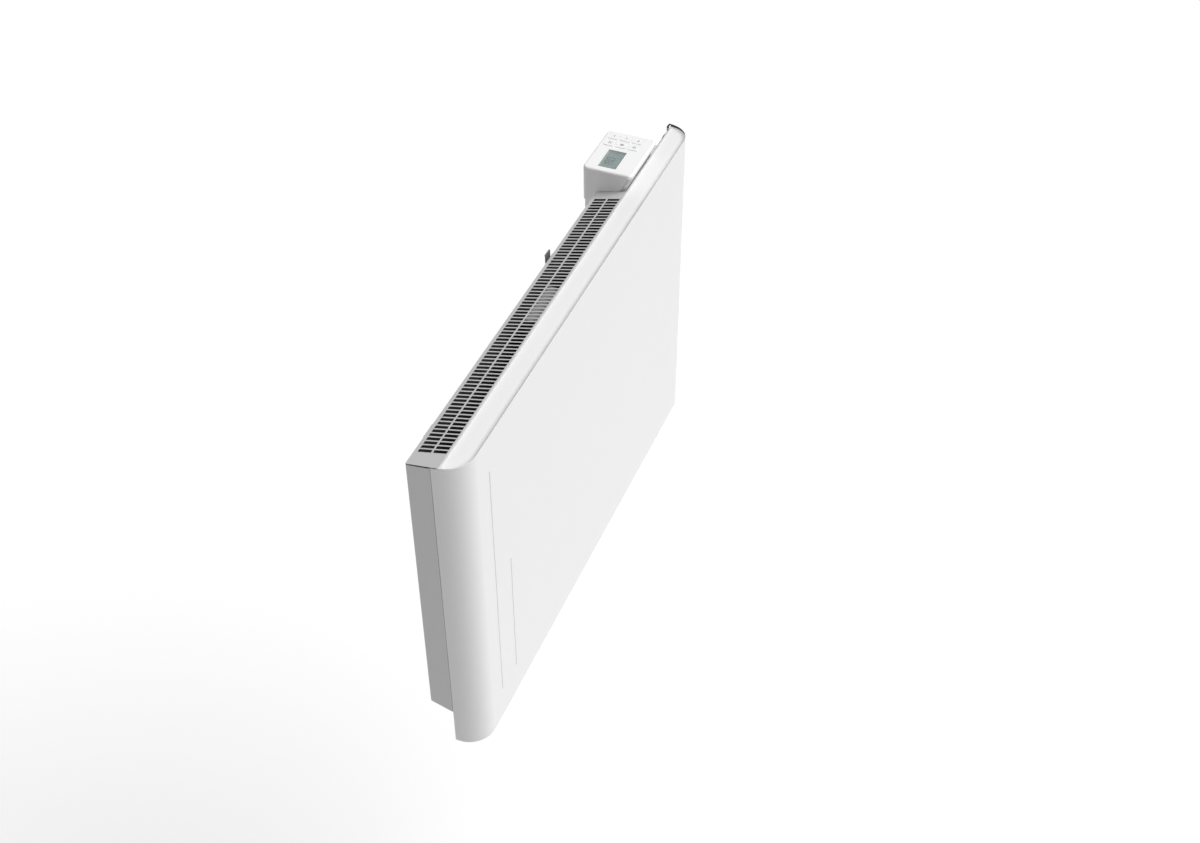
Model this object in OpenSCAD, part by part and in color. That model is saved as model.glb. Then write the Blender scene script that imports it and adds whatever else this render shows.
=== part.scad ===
// Wall panel convector heater. Millimetres, +Z up, the wall is the plane y = 0 and the front faces -Y.
// The origin is the centre of the wall bracket's four fixing holes.

/* [Front panel] */
// Width of the front panel, end to end
panel_w = 645; // [610:1:700]
// Height of the front panel
panel_h = 420; // [400:1:460]
// Sheet thickness of the front panel
panel_t = 1.2; // [1:0.1:1.5]
// Depth of the panel's ends, front face to rear lip
panel_d = 35; // [34.5:0.5:38]
// Radius of the bull-nose ends, seen from above
nose_r = 30; // [28:0.5:30]
// Radius of the small return at the rear of each end
return_r = 4; // [3:0.5:4.5]
// Length of the lip behind each end
lip_l = 12; // [8:1:14]
// Depth of the top band, front face to its back edge
band_d = 27.3; // [26:0.1:27.5]
// How far the top band is dished below the crease
dish_d = 3; // [2:0.5:4]
// Width of the rim round the dished band
rim_w = 1.6; // [1.4:0.1:2]
// Radius of the cove between rim and band
cove_r = 8; // [5:0.5:10]
// Height of the flange behind the band
band_flange_h = 8; // [6:1:10]
// Depth of the hem along the panel's foot
hem_d = 9; // [6:1:12]
// Depth of the rim at the right end, where it curls round behind the band
curl_d = 30.5; // [30:0.5:32]
// Length of that curl along the band
curl_l = 10; // [8:1:14]
// Fall of the right end behind the curl
end_slope = 8; // [6:1:10]
// Stiffener behind the band, from the panel's left end
stiffener_x = 243; // [200:1:280]
// Length of the stiffener
stiffener_l = 62; // [40:1:80]

/* [Front grooves] */
// Width of each groove
groove_w = 1.2; // [0.8:0.1:1.6]
// Depth of each groove
groove_d = 0.4; // [0.3:0.1:0.6]
// Long groove, from the panel's left end
long_groove_x = 54.2; // [45:0.1:65]
// Long groove, top below the crease
long_groove_top = 43; // [35:1:60]
// Short groove, from the panel's left end
short_groove_x = 91.6; // [80:0.1:110]
// Short groove, top below the crease
short_groove_top = 203; // [180:1:230]
// Height of the plain strip below both grooves
groove_foot = 41; // [30:1:50]

/* [Rear casing] */
// Sheet thickness of the casing
casing_t = 0.8; // [0.6:0.1:1]
// Distance from the casing's back to the wall
wall_gap = 20.7; // [20.7:0.1:26]
// Distance from the wall to the panel's front face
overall_d = 84; // [84:0.5:90]
// Casing set in from the panel's right end
casing_in_right = 49; // [44:1:54]
// Draft of each side wall over the casing's depth
side_draft = 3.3; // [2:0.1:4]
// Height of the casing's back bottom edge above the panel's foot
casing_lift = 52; // [45:1:60]
// Rise of the underside, front to back
bottom_rise = 3.5; // [2:0.5:6]
// Fall of the sloping top, front to back
top_fall = 9.5; // [8:0.5:11]
// Width of the casing's inward flanges
casing_flange = 10; // [8:1:12]

/* [Grilles] */
// Distance between neighbouring slots
slot_pitch = 6; // [6:0.1:6.1]
// Width of a slot
slot_w = 4.1; // [3.6:0.1:4.4]
// Plain strip in front of the front outlet row
slot_front = 0.7; // [0.5:0.1:2]
// Rib between the two outlet rows
slot_rib = 2; // [1.8:0.1:3]
// Plain strip behind the rear outlet row
slot_margin = 4.2; // [4:0.1:5.5]
// First slot's centre from the panel's left end
slot_first = 23.9; // [23.5:0.1:26]
// Least distance from the last slot's centre to the control box
slot_end = 17; // [12:1:22]
// Thickness of the grille plates
grille_t = 1; // [0.8:0.1:1.2]
// Length of an inlet slot as a share of the casing's depth
inlet_slot_share = 0.44; // [0.3:0.02:0.5]

/* [Control box] */
// Near side of the control box from the panel's right end
box_from_right = 153; // [150:0.5:158]
// Width of the control box
box_w = 83.5; // [83:0.5:88]
// Distance from the wall to the back of the control box
box_wall_gap = 3; // [2:0.5:4]
// Front of the control box behind the panel's front face
box_front = 20.5; // [20:0.1:21]
// Top of the control box above the crease
box_rise = 20.6; // [18:0.1:24]
// Depth of the upper cover below the crease
cover_skirt = 24; // [22:1:28]
// Height of the lower housing
housing_h = 66; // [64:1:72]
// Wall of the cover and the housing
box_wall = 2; // [1.8:0.1:2.2]
// Corner radius of the cover seen from above
box_r = 6; // [5:0.5:7]
// Rounding of the cover's top edges
box_edge_r = 2.5; // [2:0.25:3]
// Upright part of the cover's front above the slope
box_lip = 5; // [4:0.5:6]
// How far the cover's front slopes back over the band
box_undercut = 8.5; // [8.3:0.1:9]
// Housing set in from the cover all round
housing_in = 1.4; // [1:0.1:1.6]

/* [Display and keys] */
// Width of the display window
lcd_w = 36.5; // [34:0.5:37]
// Depth of the display window
lcd_d = 22.2; // [20:0.2:23]
// Display window from the cover's near side
lcd_from_side = 8; // [7:0.5:8.5]
// Display window's centre from the cover's back as a share of the cover's depth
lcd_back_share = 0.446; // [0.43:0.002:0.46]
// Thickness of the display window
lens_t = 1.2; // [1:0.1:1.3]
// Width of a key
key_w = 12.2; // [11:0.1:12.4]
// Distance between the two key columns
key_pitch_x = 14.8; // [14.5:0.1:15]
// Distance between the three key rows as a share of the cover's depth
key_row_share = 0.248; // [0.244:0.002:0.25]
// Room between two key rows
key_row_gap = 2.8; // [2.6:0.1:3.4]
// Key column nearest the far side, centre to side
key_from_side = 10.8; // [10.5:0.1:11]
// Key row nearest the back, centre to back, as a share of the cover's depth
key_back_share = 0.1934; // [0.19:0.0002:0.2]
// Height of a key above the cover
key_proud = 0.4; // [0.3:0.1:0.6]
// Travel of a key
key_travel = 0.5; // [0.3:0.1:0.5]
// Corner radius of a key
key_r = 1.5; // [1:0.25:2]

/* [Element] */
// Height of the element's centre above the casing's back bottom edge
element_z = 70; // [60:1:90]
// Length of one wing of the finned section, centre to tip
element_wing = 32; // [26:1:34]
// Thickness of a wing
element_wing_t = 2; // [1.5:0.1:3]
// Angle of the wings above the horizontal
element_angle = 62; // [58:1:66]
// Radius of the finned section's middle
element_hub_r = 7; // [6.5:0.5:9]
// Radius of the sheathed core
core_r = 4; // [3:0.25:4.5]
// Radius of the insulating bushes
bush_r = 6.5; // [6.5:0.25:8]

/* [Wall bracket] */
// Bracket's centre from the panel's left end
bracket_x = 205; // [200:0.5:210]
// Distance between the uprights and between the holes across
upright_pitch = 300; // [280:1:310]
// Distance between the holes up and down
hole_pitch_z = 200; // [180:1:220]
// Radius of a fixing hole
fixing_r = 3.2; // [2.7:0.1:3.7]
// Sheet thickness of the bracket
bracket_t = 1.2; // [1:0.1:1.6]
// Width of an upright
upright_w = 20; // [20:1:24]
// Top of the bracket's tabs below the crease
tab_top = 11; // [11:0.5:13]
// Height of a tab above its shelf
tab_h = 38; // [34:1:42]
// Lower shelf above the panel's foot
hook_z = 89; // [84:1:96]
// Travel of a sliding bolt
bolt_travel = 12; // [11:0.5:13]
// Width of a sliding bolt
bolt_w = 12; // [10:0.5:12]
// Thickness of a sliding bolt
bolt_t = 1.5; // [1.2:0.1:2]

/* [Cable inlet] */
// Radius of the cable inlet's bore
inlet_r = 4; // [3.5:0.25:4.5]

/* [Hidden] */
$fn = 48;

over = 1;         // overrun of every cut
clear = 0.3;      // running or fitting clearance
snug = 0.05;      // clearance of a screw or pin in its hole

// Reference planes. The fixing holes lie midway between the bracket's shelves
bracket_z = (hook_z + panel_h - tab_top - tab_h) / 2;
panel_x0 = -bracket_x;
panel_x1 = panel_x0 + panel_w;
front_y = -overall_d;
foot_z = -bracket_z;
crease_z = foot_z + panel_h;
band_y = front_y + band_d;
panel_in_y = front_y + panel_t;
panel_back_y = front_y + panel_d;
floor_z = crease_z - dish_d;
cove_run = sqrt(2 * cove_r * dish_d - dish_d * dish_d);
cove_angle = acos(1 - dish_d / cove_r);
cove_steps = 6;

// Casing planes. Its front edge stands just behind the panel's ends
case_x0 = panel_x0 + clear;
case_x1 = panel_x1 - casing_in_right;
case_front_y = panel_back_y + clear;
case_back_y = -wall_gap;
case_in_y = case_back_y - casing_t;
case_bottom_z = foot_z + casing_lift;
function top_z(y) = crease_z - (y - band_y) * top_fall / (case_back_y - band_y);
function bottom_z(y) = case_bottom_z - (case_back_y - y) * bottom_rise / (case_back_y - case_front_y);

// Control box planes
box_x0 = panel_x1 - box_from_right;
box_x1 = box_x0 + box_w;
box_y0 = front_y + box_front;
box_y1 = -box_wall_gap;
box_top = crease_z + box_rise;
cover_low = crease_z - cover_skirt;
housing_low = cover_low - housing_h;
box_low_y = box_y0 + box_undercut;
housing_x0 = box_x0 + housing_in;
housing_x1 = box_x1 - housing_in;
housing_y0 = box_low_y + housing_in;
housing_y1 = box_y1 - housing_in;
cover_under = box_top - box_wall;

slot_l = (case_back_y - band_y - slot_front - slot_rib - slot_margin) / 2;
slot_count = floor((box_x0 - panel_x0 - slot_end - slot_first) / slot_pitch) + 1;
inlet_slot_l = inlet_slot_share * (case_in_y - case_front_y);

// Bulkheads
sheet_t = 0.8;
bulk_flange = 20;
bulk_from_slot = 4.3;
bulk_from_box = 8;
bulk_from_panel = 4.8;
bulk_screw_in = 6;
left_bulk_x = panel_x0 + slot_first - slot_w / 2 - bulk_from_slot;
right_bulk_x = box_x0 - bulk_from_box;
bulk_front_y = front_y + panel_t + bulk_from_panel;
bulk_low_gap = 2;
stud_r = 2;
stud_shoulder_r = 4;
nut_r = 3.9;
nut_h = 3.2;
stud_in_flange = 14;
stud_z_share = [0.16, 0.7];
shield_y = bulk_front_y + sheet_t + nut_h + 2 * clear;

// Element
duct_y = (front_y + case_back_y) / 2;
elem_back = 4;
elem_y = duct_y + elem_back;
elem_z = case_bottom_z + element_z;
elem_end_gap = 6;
bush_flange_r = bush_r + 2;
bush_flange_t = 2;
core_out = 5;
shield_low = 4;
shield_from_duct = 5;
terminal_l = 9;
terminal_w = 6.3;
core_x0 = left_bulk_x - core_out;
core_x1 = right_bulk_x + sheet_t + core_out;

// Leads
lead_r = 1.3;
lead_gap = 2.2;
lead_y = case_in_y - lead_gap;
lead_hole_r = lead_r + 2 * clear;

// Display and keys
board_t = 1.6;
board_drop = 6;
board_edge = 1.5;
board_front = 5;
board_top = cover_under - board_drop;
board_y0 = box_y0 + box_wall + board_front;
board_y1 = box_y1 - box_wall - board_edge;
board_x0 = box_x0 + box_wall + board_edge;
board_x1 = box_x1 - box_wall - board_edge;
lcd_x0 = box_x0 + lcd_from_side;
lcd_y = box_y1 - lcd_back_share * (box_y1 - box_y0);
lens_ledge = 1.5;
lcd_frame = 0.8;
key_flange = 0.8;
key_flange_t = 1;
key_under = cover_under - clear / 2;
switch_side = 6;
switch_h = 3.5;
plunger_r = 1.5;
plunger_h = 0.4;
key_x = [for (i = [0:1]) box_x1 - key_from_side - key_pitch_x * (1 - i)];
key_pitch_y = key_row_share * (box_y1 - box_y0);
key_d = key_pitch_y - key_row_gap;
key_y = [for (j = [0:2]) box_y1 - key_back_share * (box_y1 - box_y0) - key_pitch_y * (2 - j)];
post_r = 2;
post_edge = 1;
post_x = [board_x0 + post_r + post_edge, lcd_x0 + lcd_w + post_r + post_edge];
post_y = [board_y0 + post_r + clear, board_y1 - post_r];
board_screw_r = 1;
board_screw_l = 5;
board_screw_head_t = 1;

// Power board, upright against the housing's back wall
power_gap = 5;
power_side = 1.5;
power_foot = 17;
power_head = 2;
power_y = housing_y1 - box_wall - power_gap;
power_x0 = housing_x0 + box_wall + power_side;
power_x1 = housing_x1 - box_wall - power_side;
power_z0 = housing_low + power_foot;
power_z1 = cover_low - power_head;
power_post = 3;
power_hole_in = 4;
power_hole_x = [power_x0 + power_hole_in, power_x1 - power_hole_in];
power_hole_z = [power_z0 + power_hole_in, power_z1 - power_hole_in];
relay_in = 10;
relay_size = [20, 12, 16];
transformer_in = 2;
transformer_low = 8;
transformer_head = 17;
transformer_size = [24, 20, power_z1 - power_z0 - transformer_low - transformer_head];
capacitor_in = 16;
capacitor_r = 6;
capacitor_l = 18;
block_in = 7;
block_low = 1;
block_over = 1.5;
block_poles = 3;
block_size = [34, power_y - lead_y + block_over, 12];
block_x0 = power_x0 + block_in;
block_z0 = power_z0 + block_low;
lead_x = [for (i = [0:block_poles - 1]) block_x0 + block_size[0] * (i + 0.5) / block_poles];
ribbon_in = 34;
ribbon_w = 12;
ribbon_t = 1;
ribbon_lap = 8;

// Cable inlet, in the part of the housing that stands behind the casing
gland_from_middle = 10;
gland_x = (box_x0 + box_x1) / 2 + gland_from_middle;
gland_y = (case_back_y + housing_y1) / 2;
gland_wall = 1.6;
gland_lip = 1.2;
gland_neck_r = inlet_r + gland_wall;
gland_flange_r = gland_neck_r + gland_lip;
gland_flange_t = 3;
gland_top = 4;
clamp_h = 8;
clamp_w = 22;
clamp_front = 5;

// Thermal cut-out on the right bulkhead, below the housing
cutout_drop = 26;
cutout_z = housing_low - cutout_drop;
cutout_r = 8;
cutout_flange_r = 10.5;
cutout_back = 3;
cutout_body = 7;
cutout_tab = [6, 6.3, 0.8];
cutout_tab_dy = 6;

// Earth and air sensor, on the casing's back wall inside the control bay
earth_up = 95;
earth_x = lead_x[1];
earth_z = case_bottom_z + earth_up;
earth_ring_r = 4;
earth_tab = 1.7;
sensor_r = 2.5;
sensor_l = 14;
sensor_in = 66;
sensor_from_back = 9;
sensor_up = 24;
sensor_x = box_x0 + sensor_in;
sensor_y = case_in_y - sensor_from_back;
sensor_z = case_bottom_z + sensor_up;
sensor_loop = 12;
sensor_plug = 3;
clip_size = [10, 12, 8];
clip_front = 4;
link_out = 8;
neutral_out = 4;

// Screws
screw_r = 1.5;
screw_head_r = 3;
screw_head_t = 1.8;
screw_out = 2;
bulk_screw_share = [0.08, 0.45, 0.7];
lug_size = [12, 3, 12];
lug_in = 7;
lug_x = [housing_x0 + lug_in, housing_x1 - lug_in];
column_r = 3.5;
column_sink = 0.7;
column_x = [housing_x0 + box_wall + column_r - column_sink, housing_x1 - box_wall - column_r + column_sink];
column_y = housing_y0 + box_wall + column_r - column_sink;
cover_boss_h = 16;
cover_screw_end = 6;

// Wall bracket
shelf_z = crease_z - tab_top - tab_h;
hook_shelf_z = foot_z + hook_z;
tab_y0 = case_back_y + clear;
tab_y1 = tab_y0 + bracket_t;
rib_t = 1.5;
strap_t = 1;
bolt_y0 = tab_y1 + clear;
bolt_y1 = bolt_y0 + bolt_t;
guide_low = 18;
guide_high = 8;
guide_z0 = crease_z - tab_top - guide_low;
guide_z1 = crease_z - tab_top - guide_high;
bolt_foot = 26;
bolt_drop = 4;
bolt_low = crease_z - tab_top - bolt_foot;
bolt_high = crease_z - tab_top - bolt_drop;
bolt_lip = 0.4;
keeper_h = 6.5;
keeper_z0 = bolt_low - strap_t / 2;
keeper_z1 = keeper_z0 + keeper_h;
keeper_leg = 1.5;
keeper_back_y = bolt_y1 + clear + strap_t;
hook_slot_side = 2;
hook_slot_w = upright_w + 2 * hook_slot_side;
hook_slot_h = 12;
hook_tip = 8;
hook_reach = 2;
spacer_r = 8;
spacer_left_in = 50;
spacer_right_in = 34;
spacer_z = 12;

// Basic shapes

module box(lo, hi) {
    translate(lo) cube(hi - lo);
}

// Outlines in the y-z plane carried along x, and in the x-z plane carried along y
module along_x(x0, x1) {
    translate([x0, 0, 0]) rotate([90, 0, 90]) linear_extrude(x1 - x0) children();
}

module along_y(y0, y1) {
    translate([0, y1, 0]) rotate([90, 0, 0]) linear_extrude(y1 - y0) children();
}

module along_z(z0, z1) {
    translate([0, 0, z0]) linear_extrude(z1 - z0) children();
}

module rod_x(at, r, l) {
    translate(at) rotate([0, 90, 0]) cylinder(r = r, h = l);
}

module rod_y(at, r, l) {
    translate(at) rotate([-90, 0, 0]) cylinder(r = r, h = l);
}

module rod_z(at, r, l) {
    translate(at) cylinder(r = r, h = l);
}

module rect(lo, hi) {
    translate(lo) square(hi - lo);
}

module round_rect(lo, hi, r) {
    rect([lo[0] + r, lo[1]], [hi[0] - r, hi[1]]);
    rect([lo[0], lo[1] + r], [hi[0], hi[1] - r]);
    for (x = [lo[0] + r, hi[0] - r], y = [lo[1] + r, hi[1] - r])
        translate([x, y]) circle(r);
}

// A round lead through a list of points, with a ball at each bend
module lead(points) {
    for (i = [1:len(points) - 1]) {
        a = points[i - 1];
        b = points[i];
        d = b - a;
        turn = abs(d[0]) > 0 ? [0, d[0] > 0 ? 90 : -90, 0]
             : abs(d[1]) > 0 ? [d[1] > 0 ? -90 : 90, 0, 0]
             : [d[2] > 0 ? 0 : 180, 0, 0];
        translate(a) rotate(turn) cylinder(r = lead_r, h = norm(d));
        if (i < len(points) - 1) translate(b) sphere(lead_r);
    }
}

// Front panel

module panel_plan(k) {
    rect([panel_x0 + nose_r, front_y + k], [panel_x1 - nose_r, front_y + nose_r]);
    rect([panel_x0 + k, front_y + nose_r], [panel_x1 - k, panel_back_y - return_r]);
    rect([panel_x0 + return_r, panel_back_y - return_r], [panel_x1 - return_r, panel_back_y - k]);
    intersection() {
        for (x = [panel_x0 + nose_r, panel_x1 - nose_r])
            translate([x, front_y + nose_r]) circle(nose_r - k);
        rect([panel_x0, front_y], [panel_x1, front_y + nose_r]);
    }
    for (x = [panel_x0 + return_r, panel_x1 - return_r])
        translate([x, panel_back_y - return_r]) circle(return_r - k);
}

// Plan of the right end's curl, with its rear corner
module curl_plan(k) {
    rear = front_y + curl_d;
    intersection() {
        union() {
            rect([panel_x1 - curl_l, band_y - rim_w], [panel_x1 - return_r, rear - k]);
            rect([panel_x1 - curl_l, band_y - rim_w], [panel_x1 - k, rear - return_r]);
            translate([panel_x1 - return_r, rear - return_r]) circle(return_r - k);
        }
        panel_plan(k);
    }
}

module end_curl() {
    along_z(floor_z - panel_t, floor_z) curl_plan(panel_t / 2);
    along_z(floor_z - panel_t, crease_z)
        difference() {
            intersection() {
                curl_plan(0);
                rect([panel_x1 - curl_l, band_y], [panel_x1, panel_back_y]);
            }
            translate([-over, 0]) curl_plan(rim_w);
            curl_plan(rim_w);
        }
}

// Half section of the dish: k is how far the rim stands from the axis or plane that it follows
function dish_section(k, side) = concat(
    [[side * k - side * rim_w, crease_z + over], [0, crease_z + over], [0, floor_z]],
    [for (i = [0:cove_steps])
        let (a = cove_angle * i / cove_steps)
            [side * (k - rim_w - cove_run + cove_r * sin(a)), floor_z + cove_r * (1 - cos(a))]]);

// The dish in the band: a flat floor with a cove up to the rim
module dish() {
    intersection() {
        union() {
            translate([0, front_y + nose_r, 0])
                along_x(panel_x0 + nose_r, panel_x1 - nose_r) polygon(dish_section(nose_r, -1));
            for (x = [panel_x0 + nose_r, panel_x1 - nose_r])
                translate([x, front_y + nose_r, 0])
                    rotate_extrude() polygon(dish_section(nose_r, 1));
        }
        box([panel_x0, front_y, floor_z - over], [panel_x1, band_y, crease_z + over]);
    }
}

module groove(x, drop) {
    box([panel_x0 + x - groove_w / 2, front_y - over, foot_z + groove_foot],
        [panel_x0 + x + groove_w / 2, front_y + groove_d, crease_z - drop]);
}

function stud_z(share) = case_bottom_z + share * (crease_z - case_bottom_z);
stud_x = [left_bulk_x + sheet_t + stud_in_flange, right_bulk_x + sheet_t + stud_in_flange];

module front_panel() {
    floor_under = floor_z - panel_t;
    color("whitesmoke") {
        difference() {
            union() {
                difference() {
                    along_z(foot_z, crease_z) panel_plan(0);
                    along_z(foot_z - over, floor_under) panel_plan(panel_t);
                    along_z(foot_z, crease_z + over) intersection() {
                        panel_plan(panel_t);
                        rect([panel_x0, band_y], [panel_x1, panel_back_y]);
                    }
                    box([panel_x0 + lip_l, panel_back_y - panel_t - over, foot_z - over],
                        [panel_x1 - lip_l, panel_back_y + over, crease_z + over]);
                    dish();
                }
                box([panel_x0 + panel_t / 2, band_y - panel_t, floor_under - band_flange_h],
                    [panel_x1 - panel_t / 2, band_y, floor_under]);
                box([panel_x0 + panel_t / 2, band_y - panel_t, floor_under],
                    [panel_x1 - curl_l, band_y, top_z(band_y) - grille_t - clear]);
                box([panel_x0 + nose_r, front_y + panel_t / 2, foot_z],
                    [panel_x1 - nose_r, front_y + hem_d, foot_z + panel_t]);
                end_curl();
                for (x = stud_x, share = stud_z_share) {
                    rod_y([x, panel_in_y - panel_t / 2, stud_z(share)], stud_shoulder_r,
                          bulk_front_y - panel_in_y + panel_t / 2);
                    rod_y([x, panel_in_y, stud_z(share)], stud_r,
                          bulk_front_y - panel_in_y + sheet_t + nut_h + clear);
                }
            }
            // room for the sloping grille plate over the left end
            along_x(panel_x0 - over, (panel_x0 + panel_x1) / 2) polygon([
                [band_y, top_z(band_y) - grille_t - clear],
                [panel_back_y + over, top_z(panel_back_y + over) - grille_t - clear],
                [panel_back_y + over, crease_z + over],
                [band_y, crease_z + over]]);
            // the right end falls away behind the curl
            along_x((panel_x0 + panel_x1) / 2, panel_x1 + over) polygon([
                [front_y + curl_d, crease_z],
                [panel_back_y + over, crease_z - end_slope],
                [panel_back_y + over, crease_z + over],
                [front_y + curl_d, crease_z + over]]);
            groove(long_groove_x, long_groove_top);
            groove(short_groove_x, short_groove_top);
        }
    }
}

module panel_nuts() {
    color("silver")
        for (x = stud_x, share = stud_z_share)
            translate([x, bulk_front_y + sheet_t, stud_z(share)]) rotate([-90, 0, 0])
                difference() {
                    cylinder(r = nut_r, h = nut_h, $fn = 6);
                    translate([0, 0, -over]) cylinder(r = stud_r + snug, h = nut_h + 2 * over);
                }
}

// A short stiffener spot-welded behind the band, seen through the front slots
module band_stiffener() {
    x0 = panel_x0 + stiffener_x;
    depth = slot_l + slot_rib;
    top = top_z(band_y + depth) - grille_t - 2 * sheet_t;
    color("gainsboro") {
        box([x0, band_y, floor_z - panel_t - band_flange_h], [x0 + stiffener_l, band_y + sheet_t, top]);
        box([x0, band_y, top - sheet_t], [x0 + stiffener_l, band_y + depth, top]);
    }
}

// Rear casing

module case_plan(k, front) {
    polygon([
        [case_x0 + k - (case_front_y - front) * side_draft / (case_back_y - case_front_y), front],
        [case_x0 + side_draft + k, case_back_y - k],
        [case_x1 - side_draft - k, case_back_y - k],
        [case_x1 - k + (case_front_y - front) * side_draft / (case_back_y - case_front_y), front]]);
}

module case_section() {
    polygon([
        [case_front_y, bottom_z(case_front_y)],
        [case_back_y, bottom_z(case_back_y)],
        [case_back_y, top_z(case_back_y) - grille_t],
        [case_front_y, top_z(case_front_y) - grille_t]]);
}

module case_hollow_section() {
    front = case_front_y - over;
    polygon([
        [front, bottom_z(front) + casing_t],
        [case_in_y, bottom_z(case_in_y) + casing_t],
        [case_in_y, crease_z + over],
        [front, crease_z + over]]);
}

module bracket_places() {
    for (x = [-upright_pitch / 2, upright_pitch / 2]) translate([x, 0, 0]) children();
}

function bulk_screw_z(share) = case_bottom_z + share * (housing_low - case_bottom_z);
bulk_screw_x = [for (x = [left_bulk_x, right_bulk_x]) x + sheet_t + bulk_screw_in];

module rear_casing() {
    color("gainsboro")
        difference() {
            union() {
                difference() {
                    intersection() {
                        along_z(foot_z, crease_z) case_plan(0, case_front_y);
                        along_x(panel_x0, panel_x1) case_section();
                    }
                    intersection() {
                        along_z(foot_z, crease_z + 2 * over) case_plan(casing_t, case_front_y - 2 * over);
                        along_x(panel_x0, panel_x1) case_hollow_section();
                    }
                }
                intersection() {
                    along_x(panel_x0, panel_x1) case_section();
                    union() {
                        box([case_x0 + casing_t / 2, case_front_y, foot_z],
                            [case_x0 + casing_flange, case_front_y + casing_t, crease_z]);
                        box([case_x1 - casing_flange, case_front_y, foot_z],
                            [case_x1 - casing_t / 2, case_front_y + casing_t, crease_z]);
                    }
                }
            }
            // window under the inlet grille
            box([case_x0 + casing_flange, case_front_y + casing_flange / 2, foot_z],
                [right_bulk_x - casing_flange, case_in_y - casing_flange / 2, case_bottom_z + over]);
            // notch for the control box
            box([box_x0 - clear, case_in_y - over, housing_low - clear],
                [box_x1 + clear, case_back_y + over, crease_z + over]);
            // slots whose upper edges hang on the bracket's lower hooks
            bracket_places()
                box([-hook_slot_w / 2, case_in_y - over, hook_shelf_z + bracket_t + snug - hook_slot_h],
                    [hook_slot_w / 2, case_back_y + over, hook_shelf_z + bracket_t + snug]);
            for (x = bulk_screw_x, share = bulk_screw_share)
                rod_y([x, case_in_y - over, bulk_screw_z(share)], screw_r + snug, casing_t + 2 * over);
            for (x = lug_x)
                rod_y([x, case_in_y - over, housing_low - lug_size[2] / 2], screw_r + snug,
                      casing_t + 2 * over);
            for (x = [case_x0 + side_draft + spacer_left_in, case_x1 - side_draft - spacer_right_in])
                rod_y([x, case_in_y - over, case_bottom_z + spacer_z], screw_r + snug,
                      casing_t + 2 * over);
            rod_y([earth_x, case_in_y - over, earth_z], screw_r + snug, casing_t + 2 * over);
        }
}

// A grille plate in the y-z plane, between two heights given by its corners
module slope_plate(x0, x1, y0, y1, z0, z1, t) {
    along_x(x0, x1) polygon([[y0, z0 - t], [y1, z1 - t], [y1, z1], [y0, z0]]);
}

module slot_row(y0, l, count) {
    for (i = [0:count - 1])
        box([panel_x0 + slot_first + i * slot_pitch - slot_w / 2, y0, foot_z - over],
            [panel_x0 + slot_first + i * slot_pitch + slot_w / 2, y0 + l, crease_z + over]);
}

module outlet_grille() {
    y0 = band_y + clear;
    rear_row = case_back_y - slot_margin - slot_l;
    color("lightgray")
        difference() {
            intersection() {
                slope_plate(panel_x0, box_x0 - clear, y0, case_back_y,
                            top_z(y0), top_z(case_back_y), grille_t);
                along_z(foot_z, crease_z + over) polygon([
                    [panel_x0 + snug, y0],
                    [case_x0 + side_draft, case_back_y],
                    [box_x0, case_back_y],
                    [box_x0, y0]]);
            }
            slot_row(rear_row, slot_l, slot_count);
            slot_row(rear_row - slot_rib - slot_l, slot_l, slot_count);
        }
}

module top_end_cover() {
    y0 = band_y + clear;
    color("lightgray")
        intersection() {
            slope_plate(box_x1 + clear, case_x1, y0, case_back_y, top_z(y0), top_z(case_back_y), grille_t);
            along_z(foot_z, crease_z + over) case_plan(0, y0);
        }
}

module inlet_grille() {
    y0 = case_front_y + casing_t + clear;
    y1 = case_in_y - clear;
    row = case_front_y + casing_flange / 2 + (case_in_y - case_front_y - casing_flange - inlet_slot_l) / 2;
    color("lightgray")
        difference() {
            slope_plate(case_x0 + casing_flange / 2, right_bulk_x - casing_flange / 2, y0, y1,
                        bottom_z(y0) + casing_t + grille_t, bottom_z(y1) + casing_t + grille_t, grille_t);
            intersection() {
                slot_row(row, inlet_slot_l, slot_count);
                box([case_x0 + casing_flange + slot_w, row - over, foot_z - over],
                    [right_bulk_x - casing_flange - slot_w, row + inlet_slot_l + over, crease_z]);
            }
            bracket_places()
                box([-hook_slot_w / 2, case_in_y - hook_tip, foot_z],
                    [hook_slot_w / 2, case_in_y, crease_z]);
        }
}

// Bulkheads between the casing's back wall and the panel's studs

module bulkhead_section(front) {
    low = bulk_low_gap + casing_t + grille_t;
    polygon([
        [front, bottom_z(case_front_y) + low],
        [case_in_y, bottom_z(case_back_y) + low],
        [case_in_y, top_z(case_in_y) - grille_t],
        [band_y, top_z(band_y) - grille_t],
        [band_y, floor_z - panel_t - band_flange_h - clear],
        [band_y - panel_t - clear, floor_z - panel_t - band_flange_h - clear],
        [band_y - panel_t - clear, floor_z - panel_t - clear],
        [front, floor_z - panel_t - clear]]);
}

module bulkhead(x0, rear_top) {
    difference() {
        union() {
            along_x(x0, x0 + sheet_t) bulkhead_section(bulk_front_y);
            intersection() {
                along_x(x0, x0 + bulk_flange) bulkhead_section(bulk_front_y);
                union() {
                    box([x0, bulk_front_y, foot_z],
                        [x0 + bulk_flange, bulk_front_y + sheet_t, crease_z]);
                    box([x0, case_in_y - sheet_t, foot_z],
                        [x0 + bulk_flange / 2, case_in_y, rear_top]);
                }
            }
        }
        for (share = stud_z_share)
            rod_y([x0 + sheet_t + stud_in_flange, bulk_front_y - over, stud_z(share)],
                  stud_r + clear, sheet_t + 2 * over);
        for (share = bulk_screw_share)
            rod_y([x0 + sheet_t + bulk_screw_in, case_in_y - sheet_t - over, bulk_screw_z(share)],
                  screw_r + snug, sheet_t + 2 * over);
        rod_x([x0 - over, elem_y, elem_z], bush_r + snug, sheet_t + 2 * over);
    }
}

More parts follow.
